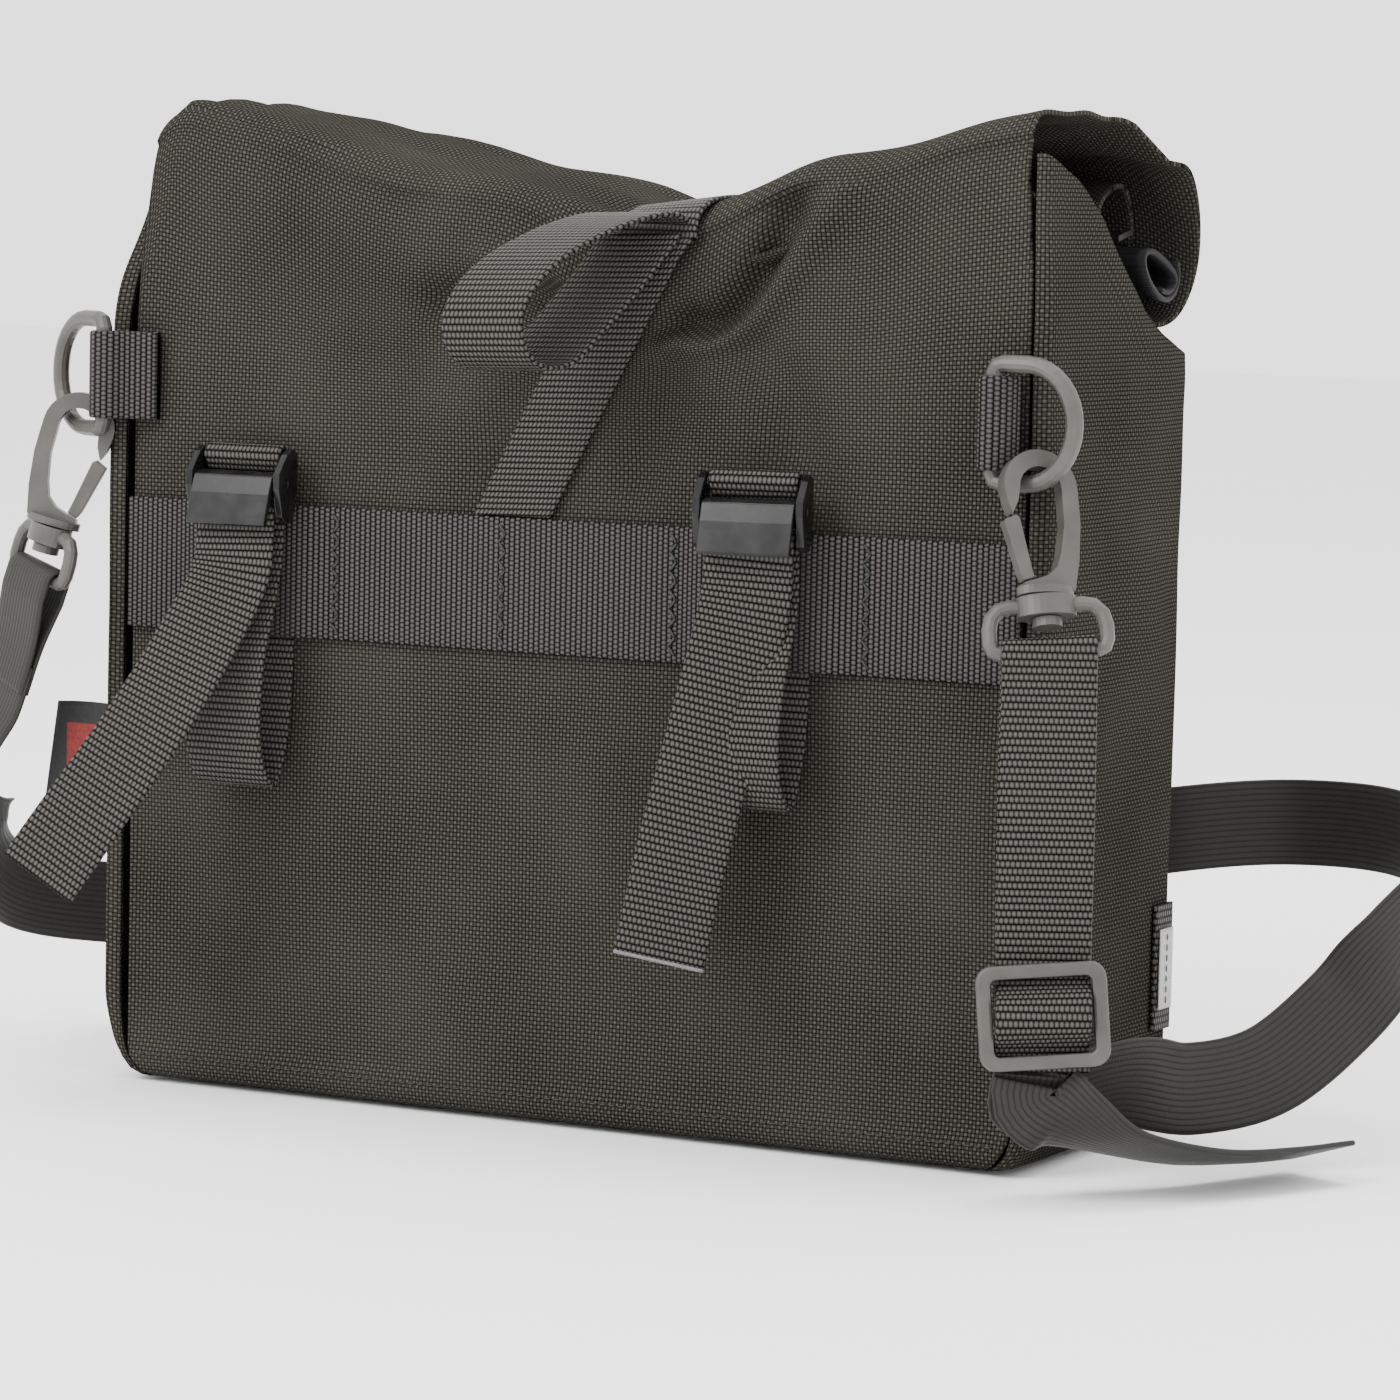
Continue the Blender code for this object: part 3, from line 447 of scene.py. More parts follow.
def studio():
    floor = Nodes("pale_floor")
    at = floor.object_point()
    tone = floor.noise(at, 3.0, 3.0)
    colour = floor.ramp(tone, (0.90, 0.90, 0.90), (0.94, 0.94, 0.94))
    mat = floor.finish(colour, 0.9, specular=0.1)
    size, level = 6000.0, -0.9
    corners = [(x * size, y * size, level) for x, y in ((-1, -1), (1, -1), (1, 1), (-1, 1))]
    plane = make("floor", corners, [(0, 1, 2, 3)], mat, smooth=False)
    world = bpy.data.worlds.new("studio")
    world.use_nodes = True
    shade = world.node_tree.nodes["Background"]
    shade.inputs[0].default_value = (1.0, 1.0, 1.0, 1.0)
    shade.inputs[1].default_value = 2.3
    bpy.context.scene.world = world
    lamp("key", (-0.7, -1.5, 1.5), (0, 0, 0.12), (0.9, 0.9), 42)
    lamp("side", (1.7, -0.5, 0.7), (0.1, 0, 0.12), (0.8, 1.2), 3)
    lamp("top", (0.1, 0.3, 1.9), (0, 0, 0.2), (1.2, 0.8), 26)


# ---------------------------------------------------------------- shoulder strap

def keyed(keys, count):
    """Directions at evenly spaced places, eased between (place, direction) keys."""
    out = []
    for i in range(count):
        pos = i * keys[-1][0] / (count - 1)
        for (a, va), (b, vb) in zip(keys, keys[1:]):
            if pos <= b + 1e-9:
                share = float(ease((pos - a) / (b - a)))
                out.append(va.normalized().lerp(vb.normalized(), share).normalized())
                break
    return out


def round_bail(bar, out, down):
    """Half a turn of strap over a swivel's bail."""
    reach = BAIL_R + BAIL_GAP + WEB / 2
    return [bar + (out * math.cos(a) - down * math.sin(a)) * reach
            for a in [math.pi * k / 16 for k in range(17)]]


def at_slider(up, proud):
    """A place by the slider, up along its loop and out from the loop's outer face."""
    return SLIDER - FALL * up + FACE * proud


def left_end_loop(lb, down):
    out = LEFT_ACROSS.cross(down).normalized()
    wrap = round_bail(lb, out, down)
    path = spline([wrap[0] + down * 34 - out * 2.4, wrap[0] + down * 20 - out * 2.0,
                   wrap[0] + down * 6], 6)
    path += wrap
    path += spline([wrap[-1] + down * 6, wrap[-1] + down * 20 + out * 2.0,
                    wrap[-1] + down * 34 + out * 2.4], 6)
    loop = webbing("strap_left_loop", path, LEFT_ACROSS, STRAP_W, LONG)
    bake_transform(loop)
    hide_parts("strap_left_end_loop")
    return loop


def long_run(lb, down):
    """From the left loop round the back of the bag to the slider, cut where it crosses
    each joint. The middle piece rides on the bag; its line and length are returned with it."""
    mid = lb + down * 39
    run = [lb + down * 26, mid, mid + Vector((-13, 3, -22)), (-206, -34, 62), (-216, -2, 46)]
    run += [(-210, 34, 38), (-188, 62, 36), (-148, 78, 40), (-80, 84, 48), (0, 85, 58)]
    run += [(80, 87, 70), (126, 95, 80), (158, 115, 83), (196, 105, 83), (219, 75, 76)]
    run += [(216, 45, 58), (208, 30, 42), (196, 8, 27), (184, -18, 24), (176, -46, 29)]
    run += [at_slider(-23.0, -13.0), at_slider(-15.5, -5.0)]
    curve = spline(run, 12)
    stand = Vector((0, 0, 1))
    turn = [(0, LEFT_ACROSS), (5, LEFT_ACROSS), (14, Vector((0.3, -0.3, 0.8))), (22, stand),
            (68, stand), (76, Vector((-0.3, 0.3, 0.9))), (84, Vector((-0.2, 0.35, 0.9))),
            (92, Vector((0.5, 0.5, 0.7))), (100, RIGHT_ACROSS)]
    rows, uvs, pts, at = tape_rows(curve, keyed(turn, len(curve)), STRAP_W, step=1.5)
    total = at[-1]
    marks = [int(np.searchsorted(at, a)) for a in
             (0, 50, 130, total - 200, total - 130, total - 85, total)]
    joins = [("left_hook", "left_ring"), ("left_ring", "bag"), None, ("bag", "right_ring"),
             ("right_ring", "right_hook"), ("right_hook", "adjuster")]
    pieces = []
    for i, pair in enumerate(joins):
        a, b = marks[i], marks[i + 1]
        piece = tape_piece("strap_run_%d" % (i + 1), rows[a:b + 1], uvs[a:b + 1], LONG,
                           caps=(i == 0, i == 5))
        if pair:
            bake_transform(piece)
        else:
            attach(piece, "bag")
            middle, line, span = piece, pts[a:b + 1], at[b] - at[a]
        pieces.append(piece)
    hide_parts("shoulder_strap_run")
    return pieces, middle, line, span


def adjuster_loop(rb, fall, face):
    """Round the slider's middle bar and up over the right bail, in three pieces."""
    wrap = round_bail(rb, face, fall)
    outer = [(14.8, -2.95), (10.2, -2.95), (7.2, -0.7), (4.6, 2.9), (2.4, 4.6), (0.0, 5.1)]
    inner = [(14.8, -4.8), (10.2, -4.8), (6.6, -3.2), (4.5, -0.3), (2.9, 2.0), (0.0, 2.95)]
    outer += [(-a, b) for a, b in reversed(outer[:-1])]
    inner += [(-a, b) for a, b in reversed(inner[:-1])]
    front = [at_slider(*q) for q in reversed(outer)]
    path = front + spline([front[-1], at_slider(24.0, -1.6), at_slider(52.0, 3.0),
                           wrap[0] + fall * 6], 12)[1:]
    path += wrap
    back = [at_slider(*q) for q in inner]
    path += spline([wrap[-1] + fall * 6, rb - face * 9 + fall * 34, at_slider(28.0, -9.0),
                    back[0]], 12)
    path += back[1:]
    rows, uvs, pts, at = tape_rows(path, RIGHT_ACROSS, STRAP_W, step=1.0)
    near = [i for i, q in enumerate(pts) if (Vector(q) - rb).dot(fall) < 27.0]
    marks = [0, near[0], near[-1], len(at) - 1]
    for k, part in enumerate(("front", "top", "rear")):
        a, b = marks[k], marks[k + 1]
        piece = tape_piece("strap_adjuster_" + part, rows[a:b + 1], uvs[a:b + 1], TAPE,
                           caps=(k == 0, k == 2))
        if part == "top":
            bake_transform(piece)
            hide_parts("strap_adjuster_loop")
        else:
            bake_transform(piece)


def loose_tail():
    tail = [at_slider(-18.4, -3.6), at_slider(-22.4, -4.3), (172.6, -74.5, 22.5),
            (181, -62, 15.5), (195, -40, 9.5), (206, -16, 7.5), (214, 4, 7.0)]
    curve = spline(tail, 12)
    turn = [(0, RIGHT_ACROSS), (8, RIGHT_ACROSS), (18, Vector((0.88, -0.35, 0.25))),
            (30, Vector((0.86, -0.4, 0.3)))]
    free_end = webbing("strap_free_end", curve, keyed(turn, len(curve)), STRAP_W, LONG)
    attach(free_end, "adjuster")
    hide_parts("strap_tail")


def shoulder_strap():
    lb, down = LEFT_BAR, Vector((-0.30, -0.05, -0.95)).normalized()
    loop = left_end_loop(lb, down)
    pieces, middle, line, span = long_run(lb, down)
    adjuster_loop(RIGHT_BAR, FALL, FACE)
    loose_tail()


# ---------------------------------------------------------------- bag cloth

def top_edge(x):
    """How far the closed top sinks at x, averaged over a short reach to ease its corners."""
    depth, flat, slope = 26.0, 15.0, 118.0
    total = 0.0
    for k in range(-6, 7):
        ramp = np.clip((np.abs(x + k * 2.0 - DIP_X) - flat) / slope, 0.0, 1.0)
        total = total - depth * (1.0 - ramp) * (1.0 - 0.35 * ramp)
    return total / 13.0


def crown(x):
    """How far the cloth stands above the plain top line, or below it beside the strap."""
    out = 6.5 * ease((x - 80.0) / 45.0) - 8.0 * np.exp(-((x + 62.0) / 44.0) ** 2)
    out = out - 6.5 * np.exp(-((x - 10.0) / 19.0) ** 2) + 4.5 * np.exp(-((x + 140.0) / 15.0) ** 2)
    return out + 7.0 * np.exp(-((x - 72.0) / 21.0) ** 2)


def fold(x, z, line, width, height):
    """Soft ridge (positive, outward) or valley (negative) along a polyline."""
    best = np.full(np.shape(x), 1e9)
    for (ax, az), (bx, bz) in zip(line, line[1:]):
        dx, dz = bx - ax, bz - az
        t = np.clip(((x - ax) * dx + (z - az) * dz) / (dx * dx + dz * dz), 0, 1)
        best = np.minimum(best, np.hypot(x - ax - dx * t, z - az - dz * t))
    return height * np.exp(-(best / width) ** 2)


def front_relief(x, z):
    """Cloth in front of (positive) or behind the flat front, in millimetres."""
    out = fold(x, z, [(36, 240), (46, 236), (60, 242), (74, 257), (86, 276)], 5.5, 4.5)
    out += fold(x, z, [(38, 250), (46, 247), (58, 256), (68, 272)], 6.5, -7.5)
    out += fold(x, z, [(-26, 262), (0, 266), (14, 262)], 4.5, 3.4)
    out += fold(x, z, [(-40, 246), (-14, 254), (4, 256)], 7.0, -5.5)
    out += fold(x, z, [(52, 238), (66, 216), (72, 196)], 10.0, -3.4)
    out += fold(x, z, [(-2, 232), (-14, 210), (-20, 188)], 9.0, -3.0)
    out += fold(x, z, [(34, 226), (34, 206), (26, 186)], 8.0, -3.2)
    out += fold(x, z, [(58, 232), (74, 205), (80, 184)], 9.0, -1.8)
    out += fold(x, z, [(-34, 232), (-46, 205), (-52, 186)], 10.0, -1.6)
    quiet = 1.0 - np.exp(-((z - 153.0) / 26.0) ** 2)
    out += (0.9 * ripple(x, z, 95.0, 3) + 0.35 * ripple(x, z, 34.0, 4) - 1.2) * quiet
    side = ease((np.abs(x) - (SEAM_X - 3.0)) / 3.0)
    limit = 0.25 + 4.5 * ease((z - 228.0) / 14.0)
    return np.minimum(out, limit) * (1 - side) - 1.3 * side


def corner_tuck(z, depth, where=1):
    """How far the cloth draws in to round the bag's bottom edge."""
    low = np.clip(1 - z / 13.0, 0, 1) * where
    return depth * (1 - np.sqrt(1 - low * low * 0.98))


def end_droop(x, y):
    """How far the roll's right end hangs towards its back."""
    return 9.0 * ease((x - 122.0) / 28.0) * ease((y - 6.0) / 34.0)


def roll_profile(coils):
    """(y, z) points up the mounting side, over the top edge and round the roll, and the
    number of them below the top edge."""
    face = [(-42.0, 0.5), (-46.5, 0.7), (-49.0, 2.2), (-50.0, 5.5)]
    face += [(-50.0, z) for z in np.linspace(8, 258, 126)]
    lead = [(-49.9, 264.0), (-49.2, 272.0), (-46.8, 279.6), (-42.6, 284.4), (-36.0, 286.6),
            (-20.0, 287.0), (0.0, 286.9), (16.0, 286.0)]
    over = [(p.x, p.y) for p in spline([(y, z, 0) for y, z in [(-50.0, 258.0)] + lead], 5)][1:]
    spiral = []
    for k in range(1, coils + 1):
        a = math.radians(104 - 550 * k / coils)
        r = ROLL_R + 0.2 - 9.0 * k / coils - 0.7 * (1 + math.cos(3 * a))
        spiral.append((ROLL_Y + r * math.cos(a), ROLL_Z + r * math.sin(a)))
    return np.array(face + over + spiral), len(face)


def front_and_roll():
    """One cloth: up the mounting side, over the top edge and round the roll."""
    coils = 90
    prof, below = roll_profile(coils)
    length = np.concatenate([[0], np.cumsum(np.hypot(*np.diff(prof, axis=0).T))])
    base = np.linspace(-1, 1, 190)
    y = np.repeat(prof[:, :1], len(base), axis=1)
    z = np.repeat(prof[:, 1:], len(base), axis=1)
    on_roll = (length > length[below + 18])[:, None] * 1.0
    half = SEAM_X - (SEAM_X - ROLL_HALF) * ease((z - 235.0) / 45.0) * (1 - on_roll)
    coil = ease((length - length[-coils]) / (length[-1] - length[-coils]))[:, None]
    flare = 10.0 * ease((y[:, :1] - 2.0) / 36.0) * (1 - coil) - 12.0 * coil
    half = half * (1 - on_roll) + (ROLL_HALF + flare) * on_roll
    half = half - corner_tuck(z, 11.0, y < -40)
    x = base[None, :] * half
    x = np.where((x < 0) & (on_roll > 0), x * 0.93, x)
    relief = front_relief(x, z) * ease((z - 5.0) / 8.0) * (y < -47.0)
    sink = np.where(on_roll > 0, 1.0, ease((z - 190.0) / 84.0))
    fade = ease((length[-72] - length) / (length[-72] - length[below + 30]))[:, None]
    z = z + (top_edge(x) + crown(x) * fade) * sink
    y = y - relief
    rise = ease((prof[:, 1:] - 205.0) / 80.0)
    left = np.where(on_roll > 0, LEFT_DRAW - SEAM_X, LEFT_DRAW * rise ** 1.6 - SEAM_X)
    q = np.clip((left - x) / (left + SEAM_X + 1e-6), 0, 1)
    bend = np.where(on_roll > 0, 1.0, rise)
    z = z - 11.0 * q ** 2 * bend
    y = y + 4.5 * q ** 1.4 * bend * (1 - on_roll)
    z = z - end_droop(x, y) * on_roll
    z = z + 0.9 * ripple(x, y * 2.0, 52.0, 8) * on_roll
    crumple = ease((x - 112.0) / 30.0) * on_roll
    y = y + 0.8 * ripple(z, x, 44.0, 12) * crumple
    z = z + 0.6 * ripple(y, x, 44.0, 13) * crumple
    uv = np.stack([x, np.repeat(length[:, None], x.shape[1], 1)], 2)
    obj = shell("front_and_roll_cloth", np.stack([x, y, z], 2), uv, 1.3, CLOTH)
    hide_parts("front_panel", "rolled_top")
    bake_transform(obj)


def rim(x, y):
    """Height of a gusset's top edge."""
    right = np.interp(y, [-50, -30, -16, -6, 0, 11, 25, 38, 50],
                      [277.5, 270, 260, 249.5, 243.5, 234.5, 228, 224, 221])
    left = np.interp(y, [-50, -34, -18, 0, 20, 50], [262, 265, 262, 252, 240, 224.5])
    return np.where(x > 0, right, left)


def side_and_back():
    """Right gusset, back and left gusset as one length of cloth that sags a little."""
    plan = [(143.9, -48.6), (145.2, -49.5), (146.8, -48.8), (147.8, -46.9)]
    plan += [(SIDE_X, y) for y in np.linspace(-44, 44, 46)]
    plan += [(147.7, 46.0), (147.0, 47.6), (145.8, 48.9), (144.2, 49.7), (142.4, 50.0)]
    mirror = [(-x, y) for x, y in reversed(plan)]
    plan += [(x, 50.0) for x in np.linspace(140, -140, 110)] + mirror
    plan = np.array(plan)
    length = np.concatenate([[0], np.cumsum(np.hypot(*np.diff(plan, axis=0).T))])
    rows = 110
    share = np.concatenate([[0.0, 0.004, 0.012, 0.022], np.linspace(0.034, 1.0, rows)])
    px, py = plan[None, :, 0], plan[None, :, 1]
    back = np.abs(px) < 143.9
    high = BACK_TOP_Z + top_edge(px) * ease((140 - np.abs(px)) / 16.0)
    high = high - 3.0 * ease((px - 122) / 20.0)
    high = np.where(back, high, rim(px, py))
    z = share[:, None] * high
    inset = np.array([3.0, 1.6, 0.5, 0.1] + [0.0] * rows)[:, None]
    z[0], z[1], z[2] = 0.5, 0.9, 2.6
    x = px - np.sign(px) * inset * ~back
    y = py - np.sign(py) * inset * (np.abs(py) > 46)
    y = y + 4.5 * ease((z - 205.0) / 60.0) * (px < 0) * np.clip((-38.0 - py) / 10.0, 0, 1)
    mid = np.sin(math.pi * np.clip((py + 50) / 100, 0, 1))
    puff = 4.6 * np.sin(math.pi * np.clip((z - 70.0) / 190.0, 0, 1)) * mid
    dent = -2.6 * np.exp(-((z - 205.0 + 0.45 * (py + 40)) / 15.0) ** 2) * mid
    wave = 0.9 * ripple(py + np.sign(px) * 300, z, 55.0, 21) * mid * ease((z - 72.0) / 40.0)
    curl = 2.6 * np.exp(-((z - high + 7.0) / 7.0) ** 2) * mid
    side = (puff + dent + wave + curl) * (~back) * ease((z - 68.0) / 34.0)
    side = side - 6.0 * ease((z - 222.0) / 40.0) * (px < 0) * ~back
    lobe = ease((py + 50.0) / 5.0 + 0.15) * ease((6.0 - py) / 46.0)
    lobe = lobe * ease(z / 26.0) * (1 - ease((z - 232.0) / 34.0))
    side = side + (6.0 * (px < 0) + 1.5 * (px > 0)) * lobe * ~back
    side = side - corner_tuck(z, 9.0) * ~back
    x = x + np.sign(px) * side
    sag = np.sin(math.pi * np.clip(z / BACK_TOP_Z, 0, 1)) * -0.8
    y = y + back * (sag - np.abs(ripple(px, z, 90, 5)) * 0.8)
    uv = np.stack([np.repeat(length[None, :], len(share), 0), z], 2)
    obj = shell("side_and_back_cloth", np.stack([x, y, z], 2), uv, 1.3, CLOTH)
    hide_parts("left_gusset", "right_gusset", "back_panel")
    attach(obj, "bag")


def base_cloth():
    """Flat base, a little uneven."""
    xs = np.linspace(-142.0, 142.0, 90)
    ys = np.linspace(-44.5, 44.5, 40)
    x, y = np.meshgrid(xs, ys)
    z = 1.0 + 0.25 * ripple(x, y, 60.0, 31)
    grid = np.stack([x, y, np.clip(z, 0.3, 1.9)], 2)
    obj = shell("base_cloth", grid, np.stack([x, y], 2), 0.7, CLOTH, flip=True)
    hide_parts("base_panel")
    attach(obj, "bag")


def upper_back():
    """Cloth that closes the bag under the roll."""
    slope = spline([(-45.0, 273.0, 0), (-20.0, 261.0, 0), (14.0, 243.6, 0), (38.0, 231.4, 0),
                    (50.0, 225.2, 0)], 8)
    prof = np.array([(p.x, p.y) for p in slope])
    xs = np.linspace(-ROLL_HALF, ROLL_HALF, 110)
    x = np.repeat(xs[None, :], len(prof), 0)
    y = np.repeat(prof[:, :1], len(xs), 1)
    z = prof[:, 1:] + top_edge(x) - 0.3 + 0.5 * ripple(x, y, 48.0, 17)
    front = ease((6.0 - y) / 50.0)
    z = z - 30.0 * ease((-x - 96.0) / 45.0) * front + (np.minimum(crown(x), 0.0) - 1.5) * front
    x = np.where(x < 0, x * (1 - 0.06 * front), x)
    obj = shell("upper_back_cloth", np.stack([x, y, z], 2), np.stack([x, y], 2), 1.3, CLOTH)
    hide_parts("upper_back_panel")
    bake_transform(obj)


def hem():
    """Webbing sewn along the mouth, closed on itself inside the roll."""
    steps = 90
    turn = np.linspace(-0.5, 1.25 * math.tau, steps)[:, None]
    wind = np.linspace(0, 1, steps)[:, None]
    xs = np.linspace(-ROLL_HALF + 8, ROLL_HALF + 5.5, steps)
    x = np.repeat(xs[None, :], len(turn), 0)
    y = np.repeat(ROLL_Y - 0.5 + (13.6 - 2.6 * wind) * np.cos(turn), len(xs), 1)
    z = ROLL_Z - 4.5 - 2.0 * wind - (8.8 - 4.8 * wind) * np.sin(turn) + top_edge(x)
    z = z - end_droop(x, y)
    obj = shell("hem_tape", np.stack([x, y, z], 2), np.stack([y * 2, x], 2), WEB, HEM)
    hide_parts("roll_hem_webbing")
    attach(obj, "top")


# ---------------------------------------------------------------- webbing on the bag

class Place:
    """Local axes of a buckle, as the frame has them."""

    def __init__(self, x, turn=0.0, flip=False, lift=0.0, out=0.0):
        self.pivot = Vector((x, BUCKLE_Y, 0.0))
        self.turn = math.radians(turn + (180.0 if flip else 0.0))
        self.shift = Vector((0.0, -2 * BUCKLE_Y if flip else -out, lift))

    def __call__(self, x, y, z, share=1.0):
        spun = Matrix.Rotation(self.turn * share, 3, "Z") @ Vector((x, y - BUCKLE_Y, z))
        return spun + self.pivot + self.shift * share


REAR_BUCKLE = Place(12.0, flip=True, lift=-22.0)
LIE = FRONT_Y - GAP - WEB / 2  # the middle of webbing that lies on the mounting side


def rail_loop(bottom):
    """(y, z) points of a cam strap where it hangs free to go round a rail."""
    return [(-51.6, 122.0), (-54.0, bottom + 12), (-59.5, bottom), (-66.0, bottom + 5.5),
            (-68.6, bottom + 17), (-66.8, 128.0), (-62.0, 142.0), (-58.4, 154.0)]


def cam_strap(name, node, x, place, turn, bottom, tail, tail_turn):
    """From the buckle's top bar down behind the band, round the rail and back to the cam."""
    path, across = [], []
    ty, tz = TOP_BAR
    anchor = [(-54.6, 177.4), (-56.5, 180.4), (-58.6, 183.2)] + arc(ty, tz, WRAP_R, 180, 0, 12)
    anchor += [(-53.3, 181.0), (-51.6, 176.4), (LIE, 171.6)]
    for p in spline([(y, z, 0) for y, z in anchor], 3):
        share = clamp((p.y - 173.0) / 10.0)
        path.append(place(0, p.x, p.y, share))
        across.append(heading(turn * share))
    for p in spline([(y, z, 0) for y, z in [(LIE, 153.0), (LIE, 136.0)] + rail_loop(bottom)], 12):
        path.append(Vector((x, p.x, p.y)))
        across.append(heading(0.0))
    for y, z in [(-57.25, 165.0)] + arc(*LOW_BAR, WRAP_R, 0, 180, 14):
        path.append(place(0, y, z))
        across.append(heading(turn))
    hang = spline([place(0, -62.9, 166.0)] + [Vector(p) for p in tail], 14)
    for i, p in enumerate(hang):
        path.append(p)
        share = min(1.0, i / (len(hang) * 0.45))
        across.append(heading(turn + (tail_turn - turn) * share))
    obj = webbing(name, path, across, STRAP_W, TAPE)
    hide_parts(node)
    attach(obj, "bag")


def mount_band():
    """Wide band, raised where the cam straps pass behind it."""
    lift = LIE - WEB - 2 * GAP
    path = [(-SEAM_X, LIE)]
    for a, b in BAND_SLOTS:
        path += [(a + 1.5, LIE), (a + 4.5, LIE - 0.5), (a + 9.5, lift + 0.3), (a + 13, lift)]
        path += [(b - 13, lift), (b - 9.5, lift + 0.3), (b - 4.5, LIE - 0.5), (b - 1.5, LIE)]
    path.append((SEAM_X, LIE))
    mid = BAND_FOOT_Z + BAND_W / 2
    obj = webbing("mount_band_tape", [Vector((x, y, mid)) for x, y in path], Vector((0, 0, 1)),
                  BAND_W, BAND)
    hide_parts("mount_band")
    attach(obj, "bag")


def cam_straps():
    tail = [(-99, -66, 152), (-103, -74, 136), (-111, -88, 112), (-122, -101, 88),
            (-134, -110, 66)]
    cam_strap("left_cam_tape", "left_cam_strap", -99.0, Place(-99.0), 0.0, 92.0, tail, 14.0)
    tail = [(67.5, -66, 150), (62, -70, 120), (55, -74, 86), (49, -76, 54)]
    cam_strap("right_cam_tape", "right_cam_strap", 68.0, Place(68.0, 10.0, out=3.5), 10.0, 97.0,
              tail, 24.0)
    last, slope = Vector(tail[-1]), (Vector(tail[-1]) - Vector(tail[-2])).normalized()
    sealed = [last + slope * step for step in (-0.7, 0.15, 0.3)]
    seal = webbing("right_tail_seal", sealed, heading(24.0), STRAP_W + 0.1, PALE,
                   thick=WEB + 0.2)
    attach(seal, "bag")


def centre_strap():
    foot, head = Vector((-14.0, LIE, 173.2)), Vector((23.0, LIE, 243.0))
    lean = (head - foot).normalized()
    side = lean.cross(Vector((0, -1, 0))).normalized()
    steps = [foot.lerp(head, k / 30) for k in range(-6, 29)]
    steps += spline([head - lean * 4, head + lean * 3.5, (27.2, -50.2, 250.0),
                     (28.6, -48.6, 252.6)], 6)
    obj = webbing("centre_tape", steps, Vector((1, 0, 0.03)), STRAP_W, TAPE, skew=True)
    trim(obj, (0, 0, 172.5), (0, 0, 1))
    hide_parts("centre_strap")
    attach(obj, "bag")


def pull_loop():
    path = spline([(26.8, -49.8, 256.4), (25.2, -54.5, 258.0), (20.5, -63.0, 256.6),
                   (14.0, -75.0, 252.0), (7.4, -86.5, 245.0), (3.0, -94.0, 236.5),
                   (1.0, -96.4, 228.0),
                   (1.6, -93.2, 219.8), (3.8, -86.0, 215.6), (7.4, -77.4, 217.2),
                   (12.0, -69.0, 226.0), (17.6, -61.0, 236.6), (23.4, -54.6, 247.6),
                   (25.6, -52.3, 252.4)], 10)
    obj = webbing("pull_loop_tape", path, Vector((1, 0, 0.03)), STRAP_W, TAPE, skew=True)
    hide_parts("front_pull_loop")
    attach(obj, "bag")


def ring_tabs():
    r = RING_R + 0.35 + WEB / 2
    x, y, z = RIGHT_RING
    plan = [(142.4, LIE), (139.8, LIE - 0.7)]
    plan += arc(x, y, r, 80, 300, 18)
    plan += [(141.6, -57.2), (142.8, LIE - WEB - 2 * GAP)]
    right = webbing("right_tab_tape", spline([(a, b, z) for a, b in plan], 2), Vector((0, 0, 1)),
                    STRAP_W, BAND)
    x, y, z = LEFT_RING
    plan = [(-134.0, LIE), (-142.0, LIE), (-146.6, LIE - 0.3)]
    plan += arc(x, y, r, 80, 270, 18)
    plan += [(-146.0, -58.6), (-142.6, -55.2), (-134.0, LIE - WEB - GAP)]
    left = webbing("left_tab_tape", spline([(a, b, z) for a, b in plan], 2), Vector((0, 0, 1)),
                   STRAP_W, BAND)
    for obj, node in ((right, "right_ring_tab"), (left, "left_ring_tab")):
        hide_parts(node)
        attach(obj, "bag")


def closure_strap():
    """Over the dip and the roll, and down to the rear buckle."""
    lane = [(-48.9, 279.2), (-48.3, 281.6), (-46.6, 284.6), (-43.4, 287.0), (-36.2, 289.0),
            (-20.0, 289.5), (0.0, 289.3), (16.0, 288.3)]
    lane += arc(ROLL_Y, ROLL_Z, ROLL_R + 1.95, 90, 0, 12)
    lane += [(57.6, 244.0), (56.6, 226.0), (54.6, 205.0), (53.2, 185.0)]
    over = []
    for p in spline([(y, z, 0) for y, z in lane], 6):
        share = clamp((236.0 - p.y) / 60.0) if p.x > 40.0 else 0.0
        drop = float(top_edge(DIP_X) + crown(DIP_X)) * clamp((p.y - 180.0) / 60.0)
        start = 3.2 * clamp((-20.0 - p.x) / 28.0)
        over.append(Vector((DIP_X - start - 20.0 * share, p.x, p.y + drop)))
    over += [REAR_BUCKLE(0, y, z) for y, z in arc(*TOP_BAR, WRAP_R, 0, 180, 12)]
    over += [REAR_BUCKLE(0, -58.6, 183.2), REAR_BUCKLE(0, -56.5, 180.4)]
    lean = [Vector((1, 0, 0.13 * clamp((48.0 - p.y) / 40.0))) for p in over]
    obj = webbing("closure_tape", over, lean, STRAP_W, TAPE)
    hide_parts("closure_strap")
    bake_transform(obj)


def cinch_strap():
    """From the back up through the rear buckle's cam, with its tail."""
    lie = BACK_Y + GAP + WEB / 2
    path = spline([(12, lie, 62.0), (12, lie, 96.0), (12, 53.0, 122.0), (12, 56.2, 138.0)], 8)
    path += [REAR_BUCKLE(0, y, z)
             for y, z in [(-57.25, 165.0)] + arc(*LOW_BAR, WRAP_R, 0, 180, 14)]
    path += spline([REAR_BUCKLE(0, -63.1, 165.0), (12, 65.0, 132.0), (14, 68.0, 105.0),
                    (16, 66.0, 74.0)], 10)
    obj = webbing("cinch_tape", path, Vector((1, 0, 0)), STRAP_W, TAPE)
    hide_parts("rear_cinch_strap")
    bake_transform(obj)


# ---------------------------------------------------------------- stitching and trims

